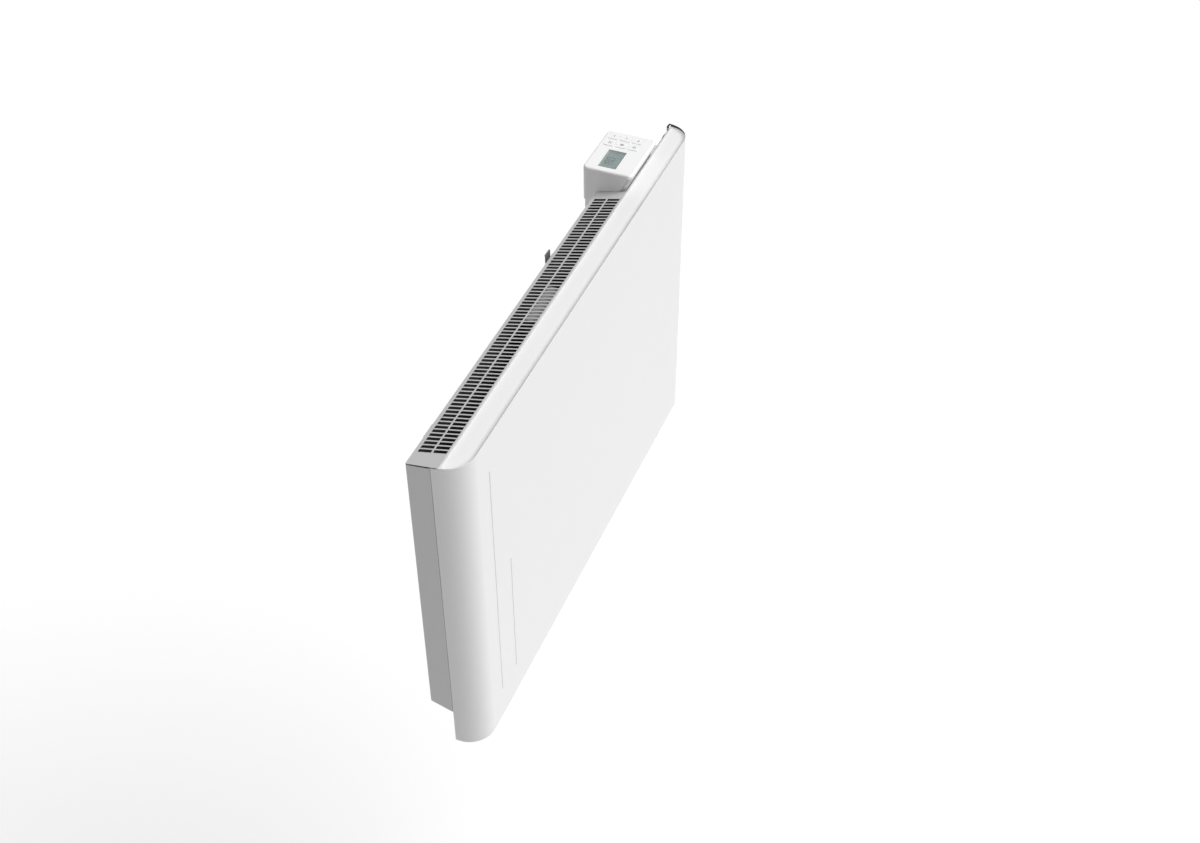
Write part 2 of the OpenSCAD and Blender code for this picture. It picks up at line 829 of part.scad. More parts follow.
module left_bulkhead() {
    color("silver") bulkhead(left_bulk_x, crease_z);
}

module right_bulkhead() {
    color("silver")
        difference() {
            bulkhead(right_bulk_x, housing_low - 2 * clear);
            rod_x([right_bulk_x - over, elem_y, cutout_z], cutout_r + snug, sheet_t + 2 * over);
        }
}

// Heating element

module element_section() {
    difference() {
        union() {
            circle(element_hub_r);
            for (side = [-1, 1]) rotate(side * element_angle) {
                translate([-element_wing, -element_wing_t / 2]) square([2 * element_wing, element_wing_t]);
                for (s = [-1, 1], k = [1:4])
                    translate([s * k * element_wing / 5 + (k == 1 ? s * element_wing_t * 2 : 0), 0])
                        square([element_wing_t / 2, element_wing_t * 3], center = true);
            }
        }
        circle(core_r + snug);
    }
}

module heating_element() {
    color("lightsteelblue")
        along_x(left_bulk_x + sheet_t + elem_end_gap, right_bulk_x - elem_end_gap)
            translate([elem_y, elem_z]) element_section();
}

module element_core() {
    color("dimgray") rod_x([core_x0, elem_y, elem_z], core_r, core_x1 - core_x0);
}

module bush(x0, side) {
    difference() {
        union() {
            rod_x([x0 - bush_flange_t, elem_y, elem_z], bush_r, sheet_t + 2 * bush_flange_t);
            rod_x([side < 0 ? x0 - bush_flange_t : x0 + sheet_t, elem_y, elem_z],
                  bush_flange_r, bush_flange_t);
        }
        rod_x([x0 - bush_flange_t - over, elem_y, elem_z], core_r + snug,
              sheet_t + 2 * bush_flange_t + 2 * over);
    }
}

module element_bushes() {
    color("white") {
        bush(left_bulk_x, -1);
        bush(right_bulk_x, 1);
    }
}

module element_terminals() {
    color("goldenrod")
        for (dz = [-1, 1])
            box([core_x1, elem_y - terminal_w / 2, elem_z + dz * core_r / 2 - sheet_t / 2],
                [core_x1 + terminal_l, elem_y + terminal_w / 2, elem_z + dz * core_r / 2 + sheet_t / 2]);
}

module heat_shield() {
    low = elem_z - element_wing - shield_low;
    high = elem_z + 4 * element_wing;
    color("silver")
        along_x(left_bulk_x + sheet_t, right_bulk_x)
            polygon([
                [shield_y, low], [shield_y + sheet_t, low],
                [shield_y + sheet_t, high],
                [duct_y - shield_from_duct, crease_z - 2 * element_wing],
                [duct_y - shield_from_duct - sheet_t, crease_z - 2 * element_wing],
                [shield_y, high + sheet_t / 2]]);
}

module thermal_cutout() {
    bay = right_bulk_x + sheet_t;
    color("darkslategray") {
        rod_x([right_bulk_x - cutout_back, elem_y, cutout_z], cutout_r, sheet_t + cutout_back + over);
        rod_x([bay, elem_y, cutout_z], cutout_flange_r, over);
        rod_x([bay, elem_y, cutout_z], cutout_r, cutout_body);
        for (s = [-1, 1])
            translate([bay + cutout_body, elem_y + s * cutout_tab_dy, cutout_z])
                box([-over, -cutout_tab[2] / 2, -cutout_tab[1] / 2],
                    [cutout_tab[0], cutout_tab[2] / 2, cutout_tab[1] / 2]);
    }
}

// Control box

function arc(at, r, from, to) = [for (i = [0:6]) at + r * [cos(from + (to - from) * i / 6),
                                                          sin(from + (to - from) * i / 6)]];

// The cover's outline from the side; k is how far it is set in
module cover_side(k, low) {
    r = box_edge_r;
    top = box_top - k;
    slope_z = crease_z;
    polygon(concat(
        [[box_y1 - k, low]],
        arc([box_y1 - k - r, top - r], r, 0, 90),
        arc([box_y0 + k + r, top - r], r, 90, 180),
        [[box_y0 + k, box_top - box_lip], [box_low_y + k, slope_z], [box_low_y + k, low]]));
}

module cover_front(k, low) {
    r = box_edge_r;
    top = box_top - k;
    polygon(concat(
        [[box_x1 - k, low]],
        arc([box_x1 - k - r, top - r], r, 0, 90),
        arc([box_x0 + k + r, top - r], r, 90, 180),
        [[box_x0 + k, low]]));
}

module cover_form(k, low) {
    intersection() {
        along_x(box_x0, box_x1) cover_side(k, low);
        along_y(box_y0, box_y1) cover_front(k, low);
        along_z(low, box_top) round_rect([box_x0 + k, box_y0 + k], [box_x1 - k, box_y1 - k], box_r - k);
        along_z(low, box_top)
            union() {
                round_rect([box_x0 + k, box_low_y + k], [box_x1 - k, box_y1 - k], box_r - k);
                rect([box_x0, box_y0], [box_x1, box_y0 + box_undercut + box_r]);
            }
    }
}

module control_cover() {
    window_lo = [lcd_x0, lcd_y - lcd_d / 2];
    window_hi = window_lo + [lcd_w, lcd_d];
    ledge = [lens_ledge, lens_ledge];
    color("white")
        difference() {
            union() {
                difference() {
                    cover_form(0, cover_low);
                    cover_form(box_wall, cover_low - over);
                }
                for (x = post_x, y = post_y) rod_z([x, y, board_top], post_r, board_drop + box_wall / 2);
                for (x = column_x) {
                    rod_z([x, column_y, cover_low], column_r, cover_boss_h);
                    box([x - box_wall / 2, box_low_y + box_wall / 2, cover_low],
                        [x + box_wall / 2, column_y - column_r / 2, cover_low + cover_boss_h]);
                }
            }
            along_z(box_top - lens_t, box_top + over) rect(window_lo, window_hi);
            along_z(cover_under - over, box_top) rect(window_lo + ledge, window_hi - ledge);
            for (x = key_x, y = key_y)
                along_z(cover_under - over, box_top + over)
                    round_rect([x - key_w / 2 - clear, y - key_d / 2 - clear],
                               [x + key_w / 2 + clear, y + key_d / 2 + clear], key_r + clear);
            for (x = post_x, y = post_y)
                rod_z([x, y, board_top - over], board_screw_r + snug, board_screw_l + over);
            for (x = column_x)
                rod_z([x, column_y, cover_low - over], screw_r + snug, cover_boss_h - box_wall + over);
        }
}

module control_housing() {
    color("gainsboro")
        difference() {
            union() {
                difference() {
                    along_z(housing_low, cover_low)
                        round_rect([housing_x0, housing_y0], [housing_x1, housing_y1], box_r - housing_in);
                    along_z(housing_low + box_wall, cover_low + over)
                        round_rect([housing_x0 + box_wall, housing_y0 + box_wall],
                                   [housing_x1 - box_wall, housing_y1 - box_wall],
                                   box_r - housing_in - box_wall);
                }
                for (x = column_x)
                    rod_z([x, column_y, housing_low], column_r, housing_h);
                for (x = lug_x)
                    box([x - lug_size[0] / 2, case_in_y - lug_size[1], housing_low - lug_size[2]],
                        [x + lug_size[0] / 2, case_in_y, housing_low + box_wall]);
                for (x = power_hole_x, z = power_hole_z)
                    rod_y([x, power_y + board_t, z], power_post,
                          housing_y1 - box_wall / 2 - power_y - board_t);
            }
            for (x = column_x)
                rod_z([x, column_y, housing_low - over], screw_r + snug, housing_h + 2 * over);
            for (x = lug_x)
                rod_y([x, case_in_y - lug_size[1] - over, housing_low - lug_size[2] / 2], screw_r + snug,
                      lug_size[1] + 2 * over);
            for (x = lead_x) rod_z([x, lead_y, housing_low - over], lead_hole_r, box_wall + 2 * over);
            rod_z([sensor_x, lead_y, housing_low - over], lead_hole_r, box_wall + 2 * over);
            rod_z([gland_x, gland_y, housing_low - over], gland_neck_r + snug, box_wall + 2 * over);
            for (x = power_hole_x, z = power_hole_z)
                rod_y([x, power_y, z], board_screw_r + snug, board_screw_l);
        }
}

module display_window() {
    color("darkseagreen")
        along_z(box_top - lens_t, box_top - snug)
            rect([lcd_x0 + snug, lcd_y - lcd_d / 2 + snug],
                 [lcd_x0 + lcd_w - snug, lcd_y + lcd_d / 2 - snug]);
}

module lcd_module() {
    color("slategray")
        box([lcd_x0 - lcd_frame, lcd_y - lcd_d / 2 - lcd_frame, board_top],
            [lcd_x0 + lcd_w + lcd_frame, lcd_y + lcd_d / 2 + lcd_frame, cover_under]);
}

module display_board() {
    color("darkgreen")
        difference() {
            box([board_x0, board_y0, board_top - board_t], [board_x1, board_y1, board_top]);
            for (x = post_x, y = post_y)
                rod_z([x, y, board_top - board_t - over], board_screw_r + snug, board_t + 2 * over);
        }
}

module tactile_switches() {
    color("dimgray")
        for (x = key_x, y = key_y) {
            box([x - switch_side / 2, y - switch_side / 2, board_top],
                [x + switch_side / 2, y + switch_side / 2, board_top + switch_h]);
            rod_z([x, y, board_top + switch_h - plunger_h], plunger_r, 2 * plunger_h);
        }
}

module key(i, j) {
    x = key_x[i];
    y = key_y[j];
    flange_low = key_under - key_flange_t;
    stem_low = board_top + switch_h + plunger_h + key_travel + snug;
    color("white") {
        along_z(key_under - key_flange_t / 2, box_top + key_proud)
            round_rect([x - key_w / 2, y - key_d / 2], [x + key_w / 2, y + key_d / 2], key_r);
        box([x - key_w / 2 - key_flange, y - key_d / 2 - key_flange, flange_low],
            [x + key_w / 2 + key_flange, y + key_d / 2 + key_flange, key_under]);
        rod_z([x, y, stem_low], plunger_r, flange_low - stem_low + key_flange_t / 2);
    }
}

module key_power() { key(0, 0); }
module key_mode() { key(0, 1); }
module key_menu() { key(0, 2); }
module key_back() { key(1, 0); }
module key_down() { key(1, 1); }
module key_up() { key(1, 2); }

module power_board() {
    color("darkgreen")
        difference() {
            box([power_x0, power_y, power_z0], [power_x1, power_y + board_t, power_z1]);
            for (x = power_hole_x, z = power_hole_z)
                rod_y([x, power_y - over, z], board_screw_r + snug, board_t + 2 * over);
        }
}

module on_power_board(x, z, size) {
    box([x, power_y - size[1], z], [x + size[0], power_y, z + size[2]]);
}

module relay() {
    color("midnightblue") on_power_board(power_x0 + relay_in, power_hole_z[1] - relay_size[2], relay_size);
}

module transformer() {
    color("darkorange")
        on_power_board(power_x1 - transformer_in - transformer_size[0], power_z0 + transformer_low,
                       transformer_size);
}

module capacitor() {
    color("steelblue")
        rod_y([power_x1 - capacitor_in, power_y - capacitor_l, power_z1 - power_head - capacitor_r],
              capacitor_r, capacitor_l);
}

module terminal_block() {
    color("seagreen") on_power_board(block_x0, block_z0, block_size);
}

// Flat cable from the display board's underside to the front of the power board
module ribbon_cable() {
    x = power_x0 + ribbon_in;
    color("lightgray")
        box([x, power_y - ribbon_t, power_z1 - ribbon_lap], [x + ribbon_w, power_y, board_top - board_t]);
}

module cable_gland() {
    at = [gland_x, gland_y, housing_low];
    color("dimgray")
        difference() {
            union() {
                rod_z(at - [0, 0, gland_flange_t], gland_flange_r, gland_flange_t);
                rod_z(at - [0, 0, gland_flange_t], gland_neck_r, gland_flange_t + box_wall + gland_top);
            }
            rod_z(at - [0, 0, gland_flange_t + over], inlet_r,
                  gland_flange_t + box_wall + gland_top + 2 * over);
        }
}

module cord_clamp() {
    z0 = housing_low + box_wall + gland_top;
    color("black")
        difference() {
            box([gland_x - clamp_w / 2, gland_y - clamp_front, z0],
                [gland_x + clamp_w / 2, housing_y1 - box_wall, z0 + clamp_h]);
            rod_z([gland_x, gland_y, z0 - over], inlet_r + clear, clamp_h + 2 * over);
        }
}

// Leads

function block_end(i) = [lead_x[i], lead_y, block_z0];
cutout_out_x = right_bulk_x + sheet_t + cutout_body + cutout_tab[0];
terminal_out_x = core_x1 + terminal_l;

module live_lead() {
    y = elem_y + cutout_tab_dy;
    color("saddlebrown")
        lead([block_end(0), [lead_x[0], lead_y, cutout_z], [lead_x[0], y, cutout_z],
              [cutout_out_x, y, cutout_z]]);
}

module link_lead() {
    y = elem_y - cutout_tab_dy;
    z = elem_z + core_r / 2;
    x = terminal_out_x + link_out;
    color("firebrick")
        lead([[cutout_out_x, y, cutout_z], [x, y, cutout_z], [x, y, z], [x, elem_y, z],
              [terminal_out_x, elem_y, z]]);
}

module neutral_lead() {
    z = elem_z - core_r / 2;
    color("royalblue")
        lead([block_end(2), [lead_x[2], lead_y, z - 3 * lead_r], [lead_x[2], elem_y, z - 3 * lead_r],
              [terminal_out_x + neutral_out, elem_y, z - 3 * lead_r],
              [terminal_out_x + neutral_out, elem_y, z],
              [terminal_out_x, elem_y, z]]);
}

module earth_lead() {
    color("yellowgreen") {
        lead([block_end(1), [earth_x, lead_y, earth_z + earth_ring_r]]);
        difference() {
            rod_y([earth_x, case_in_y - sheet_t, earth_z], earth_ring_r, sheet_t);
            rod_y([earth_x, case_in_y - sheet_t - over, earth_z], screw_r + snug, sheet_t + 2 * over);
        }
        box([earth_x - lead_r, lead_y - lead_r, earth_z + screw_head_r + clear],
            [earth_x + lead_r, case_in_y, earth_z + screw_head_r + clear + earth_tab]);
    }
}

module earth_screw() {
    color("goldenrod") {
        rod_y([earth_x, case_in_y - sheet_t, earth_z], screw_r, sheet_t + casing_t + screw_out);
        rod_y([earth_x, case_in_y - sheet_t - screw_head_t, earth_z], screw_head_r, screw_head_t);
    }
}

module air_sensor() {
    color("black") rod_z([sensor_x, sensor_y, sensor_z], sensor_r, sensor_l);
}

module sensor_clip() {
    z0 = sensor_z + (sensor_l - clip_size[2]) / 2;
    color("white")
        difference() {
            box([sensor_x - clip_size[0] / 2, sensor_y - clip_front, z0],
                [sensor_x + clip_size[0] / 2, case_in_y, z0 + clip_size[2]]);
            rod_z([sensor_x, sensor_y, z0 - over], sensor_r + snug, clip_size[2] + 2 * over);
        }
}

module sensor_lead() {
    z = sensor_z + sensor_l;
    color("gray")
        lead([[sensor_x, power_y, power_z0 + sensor_plug], [sensor_x, lead_y, power_z0 + sensor_plug],
              [sensor_x, lead_y, z + sensor_loop], [sensor_x, sensor_y, z + sensor_loop],
              [sensor_x, sensor_y, z]]);
}

// Screws

module casing_screws() {
    color("silver")
        for (x = bulk_screw_x, share = bulk_screw_share) {
            rod_y([x, case_in_y - sheet_t - screw_out, bulk_screw_z(share)], screw_r,
                  casing_t + sheet_t + screw_out);
            rod_y([x, case_back_y, bulk_screw_z(share)], screw_head_r, screw_head_t);
        }
}

module housing_screws() {
    z = housing_low - lug_size[2] / 2;
    color("silver")
        for (x = lug_x) {
            rod_y([x, case_in_y - lug_size[1] - screw_out, z], screw_r, casing_t + lug_size[1] + screw_out);
            rod_y([x, case_back_y, z], screw_head_r, screw_head_t);
        }
}

module cover_screws() {
    color("silver")
        for (x = column_x) {
            rod_z([x, column_y, housing_low], screw_r, housing_h + cover_boss_h - cover_screw_end);
            rod_z([x, column_y, housing_low - screw_head_t], screw_head_r, screw_head_t);
        }
}

module board_screws() {
    color("silver") {
        for (x = post_x, y = post_y) {
            rod_z([x, y, board_top - board_t], board_screw_r, board_screw_l);
            rod_z([x, y, board_top - board_t - board_screw_head_t], post_r, board_screw_head_t);
        }
        for (x = power_hole_x, z = power_hole_z) {
            rod_y([x, power_y, z], board_screw_r, board_screw_l - board_screw_head_t);
            rod_y([x, power_y - board_screw_head_t, z], post_r, board_screw_head_t);
        }
    }
}

// Wall bracket and its sliding bolts

module bracket_arm() {
    half = upright_w / 2;
    window = bolt_w / 2 + clear + keeper_leg + 2 * clear;
    inside = bolt_w / 2 + clear;
    difference() {
        union() {
            box([-half, tab_y0, shelf_z - bracket_t], [half, 0, shelf_z]);
            box([-half, tab_y0, shelf_z - bracket_t], [half, tab_y1, crease_z - tab_top]);
        }
        box([-window, tab_y0 - over, keeper_z0 - 2 * clear], [window, tab_y1 + over, keeper_z1 + 2 * clear]);
    }
    for (s = [-1, 1])
        box([s < 0 ? -inside - rib_t : inside, tab_y1, guide_z0],
            [s < 0 ? -inside : inside + rib_t, bolt_y1 + clear + strap_t, guide_z1]);
    box([-inside - rib_t, bolt_y1 + clear, guide_z0],
        [inside + rib_t, bolt_y1 + clear + strap_t, guide_z1]);
}

module bracket_hook() {
    half = upright_w / 2;
    tip = case_in_y - hook_reach;
    box([-half, tip - bracket_t, hook_shelf_z], [half, 0, hook_shelf_z + bracket_t]);
    box([-half, tip - bracket_t, hook_shelf_z], [half, tip, hook_shelf_z + hook_tip]);
}

module wall_bracket() {
    half = upright_w / 2;
    color("darkgray")
        difference() {
            union() {
                bracket_places() {
                    box([-half, -bracket_t, hook_shelf_z], [half, 0, shelf_z]);
                    bracket_arm();
                    bracket_hook();
                }
                for (z = [-hole_pitch_z / 2, hole_pitch_z / 2])
                    box([-upright_pitch / 2, -bracket_t, z - half], [upright_pitch / 2, 0, z + half]);
            }
            bracket_places()
                for (z = [-hole_pitch_z / 2, hole_pitch_z / 2])
                    rod_y([0, -bracket_t - over, z], fixing_r, bracket_t + 2 * over);
        }
}

module keepers() {
    inside = bolt_w / 2 + clear;
    color("silver")
        bracket_places() {
            for (s = [-1, 1])
                box([s < 0 ? -inside - keeper_leg : inside, case_back_y, keeper_z0],
                    [s < 0 ? -inside : inside + keeper_leg, keeper_back_y, keeper_z1]);
            box([-inside - keeper_leg, bolt_y1 + clear, keeper_z0],
                [inside + keeper_leg, keeper_back_y, keeper_z1]);
        }
}

module sliding_bolt(lift) {
    half = bolt_w / 2;
    translate([0, 0, lift]) {
        box([-half, bolt_y0, bolt_low], [half, bolt_y1, bolt_high]);
        box([-half, bolt_y0, bolt_high - bolt_t], [half, bolt_y1 + bolt_lip, bolt_high]);
    }
}

module bolt_left() {
    color("gray") translate([-upright_pitch / 2, 0, 0]) sliding_bolt(0);
}

module bolt_right() {
    color("gray") translate([upright_pitch / 2, 0, 0]) sliding_bolt(bolt_travel);
}

module wall_spacers() {
    color("black")
        for (x = [case_x0 + side_draft + spacer_left_in, case_x1 - side_draft - spacer_right_in]) {
            rod_y([x, case_back_y, case_bottom_z + spacer_z], spacer_r, wall_gap);
            rod_y([x, case_in_y - screw_out, case_bottom_z + spacer_z], screw_r, casing_t + screw_out);
            rod_y([x, case_in_y - screw_out, case_bottom_z + spacer_z], screw_head_r, screw_out);
        }
}

front_panel();
rear_casing();
outlet_grille();
top_end_cover();
inlet_grille();
left_bulkhead();
right_bulkhead();
panel_nuts();
heating_element();
element_core();
element_bushes();
element_terminals();
heat_shield();
band_stiffener();
thermal_cutout();
control_cover();
control_housing();
display_window();
lcd_module();
display_board();
tactile_switches();
power_board();
relay();
capacitor();
transformer();
terminal_block();
ribbon_cable();
cable_gland();
cord_clamp();
live_lead();
link_lead();
neutral_lead();
earth_lead();
earth_screw();
air_sensor();
sensor_clip();
sensor_lead();
casing_screws();
housing_screws();
cover_screws();
board_screws();
wall_bracket();
keepers();
wall_spacers();
bolt_left();
bolt_right();
key_power();
key_mode();
key_menu();
key_back();
key_down();
key_up();
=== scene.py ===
from math import asin, cos, degrees, pi, radians, sin, sqrt

import bmesh
import bpy
from mathutils import Matrix, Vector


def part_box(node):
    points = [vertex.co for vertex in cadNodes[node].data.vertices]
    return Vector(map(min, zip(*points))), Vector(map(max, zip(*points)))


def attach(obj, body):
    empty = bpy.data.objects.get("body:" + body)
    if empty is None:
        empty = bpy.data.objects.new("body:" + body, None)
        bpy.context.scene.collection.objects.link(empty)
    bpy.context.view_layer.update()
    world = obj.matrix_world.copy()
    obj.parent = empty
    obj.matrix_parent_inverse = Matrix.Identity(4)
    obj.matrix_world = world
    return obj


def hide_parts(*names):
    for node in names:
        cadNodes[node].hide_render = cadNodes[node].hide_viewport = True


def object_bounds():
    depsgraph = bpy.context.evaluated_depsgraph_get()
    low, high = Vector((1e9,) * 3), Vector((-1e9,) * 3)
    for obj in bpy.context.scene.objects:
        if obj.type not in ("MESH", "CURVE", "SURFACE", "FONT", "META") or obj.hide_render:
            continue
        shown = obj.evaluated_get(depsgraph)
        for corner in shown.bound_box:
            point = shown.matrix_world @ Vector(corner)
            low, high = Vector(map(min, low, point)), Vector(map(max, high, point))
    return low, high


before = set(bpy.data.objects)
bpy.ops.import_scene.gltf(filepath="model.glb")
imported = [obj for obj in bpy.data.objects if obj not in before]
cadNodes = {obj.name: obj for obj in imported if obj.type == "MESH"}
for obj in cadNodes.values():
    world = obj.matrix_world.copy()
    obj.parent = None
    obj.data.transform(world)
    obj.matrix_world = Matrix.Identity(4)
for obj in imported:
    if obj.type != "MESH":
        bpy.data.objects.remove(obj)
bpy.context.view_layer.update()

# Wall panel convector heater. Sizes are millimetres until a mesh is made
scene = bpy.context.scene
mm = 0.001
print("frame loaded:", len(cadNodes), "nodes")


def span(node):
    low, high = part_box(node)
    return low / mm, high / mm


# Mesh helpers

def arc(centre, radius, start, end, steps):
    turns = [radians(start + (end - start) * i / steps) for i in range(steps + 1)]
    return [(centre[0] + radius * cos(a), centre[1] + radius * sin(a)) for a in turns]


def roundedBox(x0, x1, y0, y1, radius, steps=6):
    return (arc((x0 + radius, y0 + radius), radius, 180, 270, steps)
            + arc((x1 - radius, y0 + radius), radius, 270, 360, steps)
            + arc((x1 - radius, y1 - radius), radius, 0, 90, steps)
            + arc((x0 + radius, y1 - radius), radius, 90, 180, steps))


def insetBox(low, high, inset, radius, steps):
    x0, x1, y0, y1 = low[0] + inset, high[0] - inset, low[1] + inset, high[1] - inset
    return roundedBox(x0, x1, y0, y1, radius, steps)


def clipBehind(outline, y):
    # the part of a closed outline that lies behind y
    kept = []
    for a, b in zip(outline, outline[1:] + outline[:1]):
        if a[1] >= y:
            kept.append(a)
        if (a[1] >= y) != (b[1] >= y):
            share = (y - a[1]) / (b[1] - a[1])
            kept.append((a[0] + (b[0] - a[0]) * share, y))
    return kept


def meshPiece(name, points, faces, edges=()):
    mesh = bpy.data.meshes.new(name)
    mesh.from_pydata([Vector(p) * mm for p in points], list(edges), faces)
    piece = bpy.data.objects.new(name, mesh)
    scene.collection.objects.link(piece)
    return piece


def tidy(piece, reach=0.002):
    bm = bmesh.new()
    bm.from_mesh(piece.data)
    bmesh.ops.remove_doubles(bm, verts=bm.verts, dist=reach * mm)
    bmesh.ops.dissolve_degenerate(bm, edges=bm.edges, dist=reach * mm / 2)
    bmesh.ops.recalc_face_normals(bm, faces=bm.faces)
    bm.to_mesh(piece.data)
    bm.free()
    return piece


def loft(name, rings):
    # a closed skin through rings of as many points each
    count = len(rings[0])
    points = [p for ring in rings for p in ring]
    faces = [[r * count + i, r * count + (i + 1) % count,
              (r + 1) * count + (i + 1) % count, (r + 1) * count + i]
             for r in range(len(rings) - 1) for i in range(count)]
    faces.append(list(range(count))[::-1])
    faces.append([(len(rings) - 1) * count + i for i in range(count)])
    return tidy(meshPiece(name, points, faces))


def level(outline, z):
    return [(x, y, z) for x, y in outline]


def axisPoint(axis, a, b, along):
    return {"x": (along, a, b), "y": (a, along, b), "z": (a, b, along)}[axis]


def bar(name, outline, low, high, axis="z"):
    return loft(name, [[axisPoint(axis, a, b, along) for a, b in outline] for along in (low, high)])


def block(name, low, high):
    corners = [(low[0], low[1]), (high[0], low[1]), (high[0], high[1]), (low[0], high[1])]
    return bar(name, corners, low[2], high[2])


def turned(name, profile, centre=(0, 0, 0), axis="z", steps=32):
    # a lathe shape: profile points are radius and distance along the axis
    rings = []
    for radius, along in profile:
        ring = arc((0, 0), max(radius, 0.001), 0, 360 - 360 / steps, steps - 1)
        rings.append([Vector(axisPoint(axis, a, b, along)) + Vector(centre) for a, b in ring])
    return loft(name, rings)


def settle(piece):
    # the evaluated shape becomes the piece's own plain mesh
    bpy.context.view_layer.update()
    graph = bpy.context.evaluated_depsgraph_get()
    made = bpy.data.meshes.new_from_object(piece.evaluated_get(graph))
    piece.modifiers.clear()
    old, piece.data = piece.data, made
    bpy.data.meshes.remove(old)
    return piece


def combine(piece, tools, how="DIFFERENCE"):
    for tool in tools if isinstance(tools, list) else [tools]:
        change = piece.modifiers.new("combine", "BOOLEAN")
        change.operation, change.solver, change.object = how, "EXACT", tool
        settle(piece)
        bpy.data.objects.remove(tool)
    return piece


def gather(name, tools):
    # several separate shapes in one mesh
    bm = bmesh.new()
    for tool in tools:
        bm.from_mesh(tool.data)
        bpy.data.objects.remove(tool)
    mesh = bpy.data.meshes.new(name)
    bm.to_mesh(mesh)
    bm.free()
    piece = bpy.data.objects.new(name, mesh)
    scene.collection.objects.link(piece)
    return piece


def copyOf(node, name, flat=0.3):
    # the CAD node's own shape, its triangles merged into flat faces
    piece = bpy.data.objects.new(name, cadNodes[node].data.copy())
    scene.collection.objects.link(piece)
    piece.data.materials.clear()
    bm = bmesh.new()
    bm.from_mesh(piece.data)
    bmesh.ops.remove_doubles(bm, verts=bm.verts, dist=0.0005 * mm)
    bmesh.ops.dissolve_limit(bm, angle_limit=radians(flat), verts=bm.verts, edges=bm.edges)
    bm.to_mesh(piece.data)
    bm.free()
    return piece


def soften(piece, width, segments=2, angle=35, clamp=False):
    edges = piece.modifiers.new("edges", "BEVEL")
    edges.width, edges.segments = width * mm, segments
    edges.limit_method, edges.angle_limit = "ANGLE", radians(angle)
    edges.use_clamp_overlap, edges.miter_outer = clamp, "MITER_ARC"
    return settle(piece)


def shade(piece, angle=34):
    piece.data.shade_smooth()
    piece.data.set_sharp_from_angle(angle=radians(angle))
    weights = piece.modifiers.new("weights", "WEIGHTED_NORMAL")
    weights.keep_sharp = True
    return settle(piece)


def islands(node):
    # the box of each separate solid of a CAD node, near end first
    bm = bmesh.new()
    bm.from_mesh(cadNodes[node].data)
    bmesh.ops.remove_doubles(bm, verts=bm.verts, dist=0.0005 * mm)
    left, boxes = set(bm.verts), []
    while left:
        heap = [left.pop()]
        seen = list(heap)
        while heap:
            for edge in heap.pop().link_edges:
                for v in edge.verts:
                    if v in left:
                        left.remove(v)
                        heap.append(v)
                        seen.append(v)
        low = Vector([min(v.co[k] for v in seen) for k in range(3)]) / mm
        high = Vector([max(v.co[k] for v in seen) for k in range(3)]) / mm
        boxes.append((low, high))
    bm.free()
    return sorted(boxes, key=lambda b: tuple(round(c, 2) for c in b[0]))


def dress(piece, finish, body="heater", nodes=()):
    if finish is not None:
        piece.data.materials.clear()
        piece.data.materials.append(finish)
    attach(piece, body)
    if nodes:
        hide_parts(*nodes)
    return piece


# Finishes

def tone(red, green, blue):
    # a colour as seen, 0 to 255, made linear
    parts = [c / 255 for c in (red, green, blue)]
    return tuple(c / 12.92 if c < 0.04045 else ((c + 0.055) / 1.055) ** 2.4 for c in parts) + (1,)


class Tree:
    def __init__(self, tree):
        self.tree = tree

    def wire(self, out, into):
        self.tree.links.new(out, into)

    def add(self, kind, inputs=(), **settings):
        # each input gets a value, or the socket that is wired into it
        node = self.tree.nodes.new(kind)
        for name, value in settings.items():
            setattr(node, name, value)
        for name, value in dict(inputs).items():
            if isinstance(value, bpy.types.NodeSocket):
                self.wire(value, node.inputs[name])
            else:
                node.inputs[name].default_value = value
        return node

    def first(self, kind, inputs=(), **settings):
        return self.add(kind, inputs, **settings).outputs[0]


def blankTree(holder):
    holder.use_nodes = True
    holder.node_tree.nodes.clear()
    return Tree(holder.node_tree)


def newFinish(name):
    finish = bpy.data.materials.new(name)
    t = blankTree(finish)
    shader = t.add("ShaderNodeBsdfPrincipled")
    t.add("ShaderNodeOutputMaterial", {"Surface": shader.outputs["BSDF"]})
    return finish, t, shader, t.add("ShaderNodeTexCoord").outputs["Object"]


def pattern(t, kind, place, size, stretch, inputs=(), **settings):
    # size is that of a patch in millimetres
    scale = [1 / (s * size * mm) for s in stretch]
    turn = t.first("ShaderNodeMapping", {"Vector": place, "Scale": scale})
    return t.add(kind, {"Vector": turn, "Scale": 1, **dict(inputs)}, **settings).outputs


def noise(t, place, size, stretch=(1, 1, 1), detail=3):
    return pattern(t, "ShaderNodeTexNoise", place, size, stretch, {"Detail": detail})["Fac"]


def cells(t, place, size, feature="F1", output="Color"):
    return pattern(t, "ShaderNodeTexVoronoi", place, size, (1, 1, 1), feature=feature)[output]


def ramp(t, value, stops, low=0.3, high=0.7):
    # two colours, at two values of a pattern
    band = t.add("ShaderNodeValToRGB", {"Fac": value})
    for mark, colour, position in zip(band.color_ramp.elements, stops, (low, high)):
        mark.position, mark.color = position, colour
    return band.outputs["Color"]


def spread(t, value, low, high, start=0.3, end=0.7):
    return t.first("ShaderNodeMapRange", {"Value": value, "From Min": start, "From Max": end,
                                          "To Min": low, "To Max": high})


def surface(t, shader, colour, gloss, height, depth, metal=0):
    # depth of the relief in millimetres
    relief = t.first("ShaderNodeBump", {"Strength": 1, "Distance": depth * mm, "Height": height})
    t.wire(colour, shader.inputs["Base Color"])
    t.wire(gloss, shader.inputs["Roughness"])
    t.wire(relief, shader.inputs["Normal"])
    shader.inputs["Metallic"].default_value = metal


def darker(colour, share):
    return tuple(c * share for c in colour[:3]) + (1,)


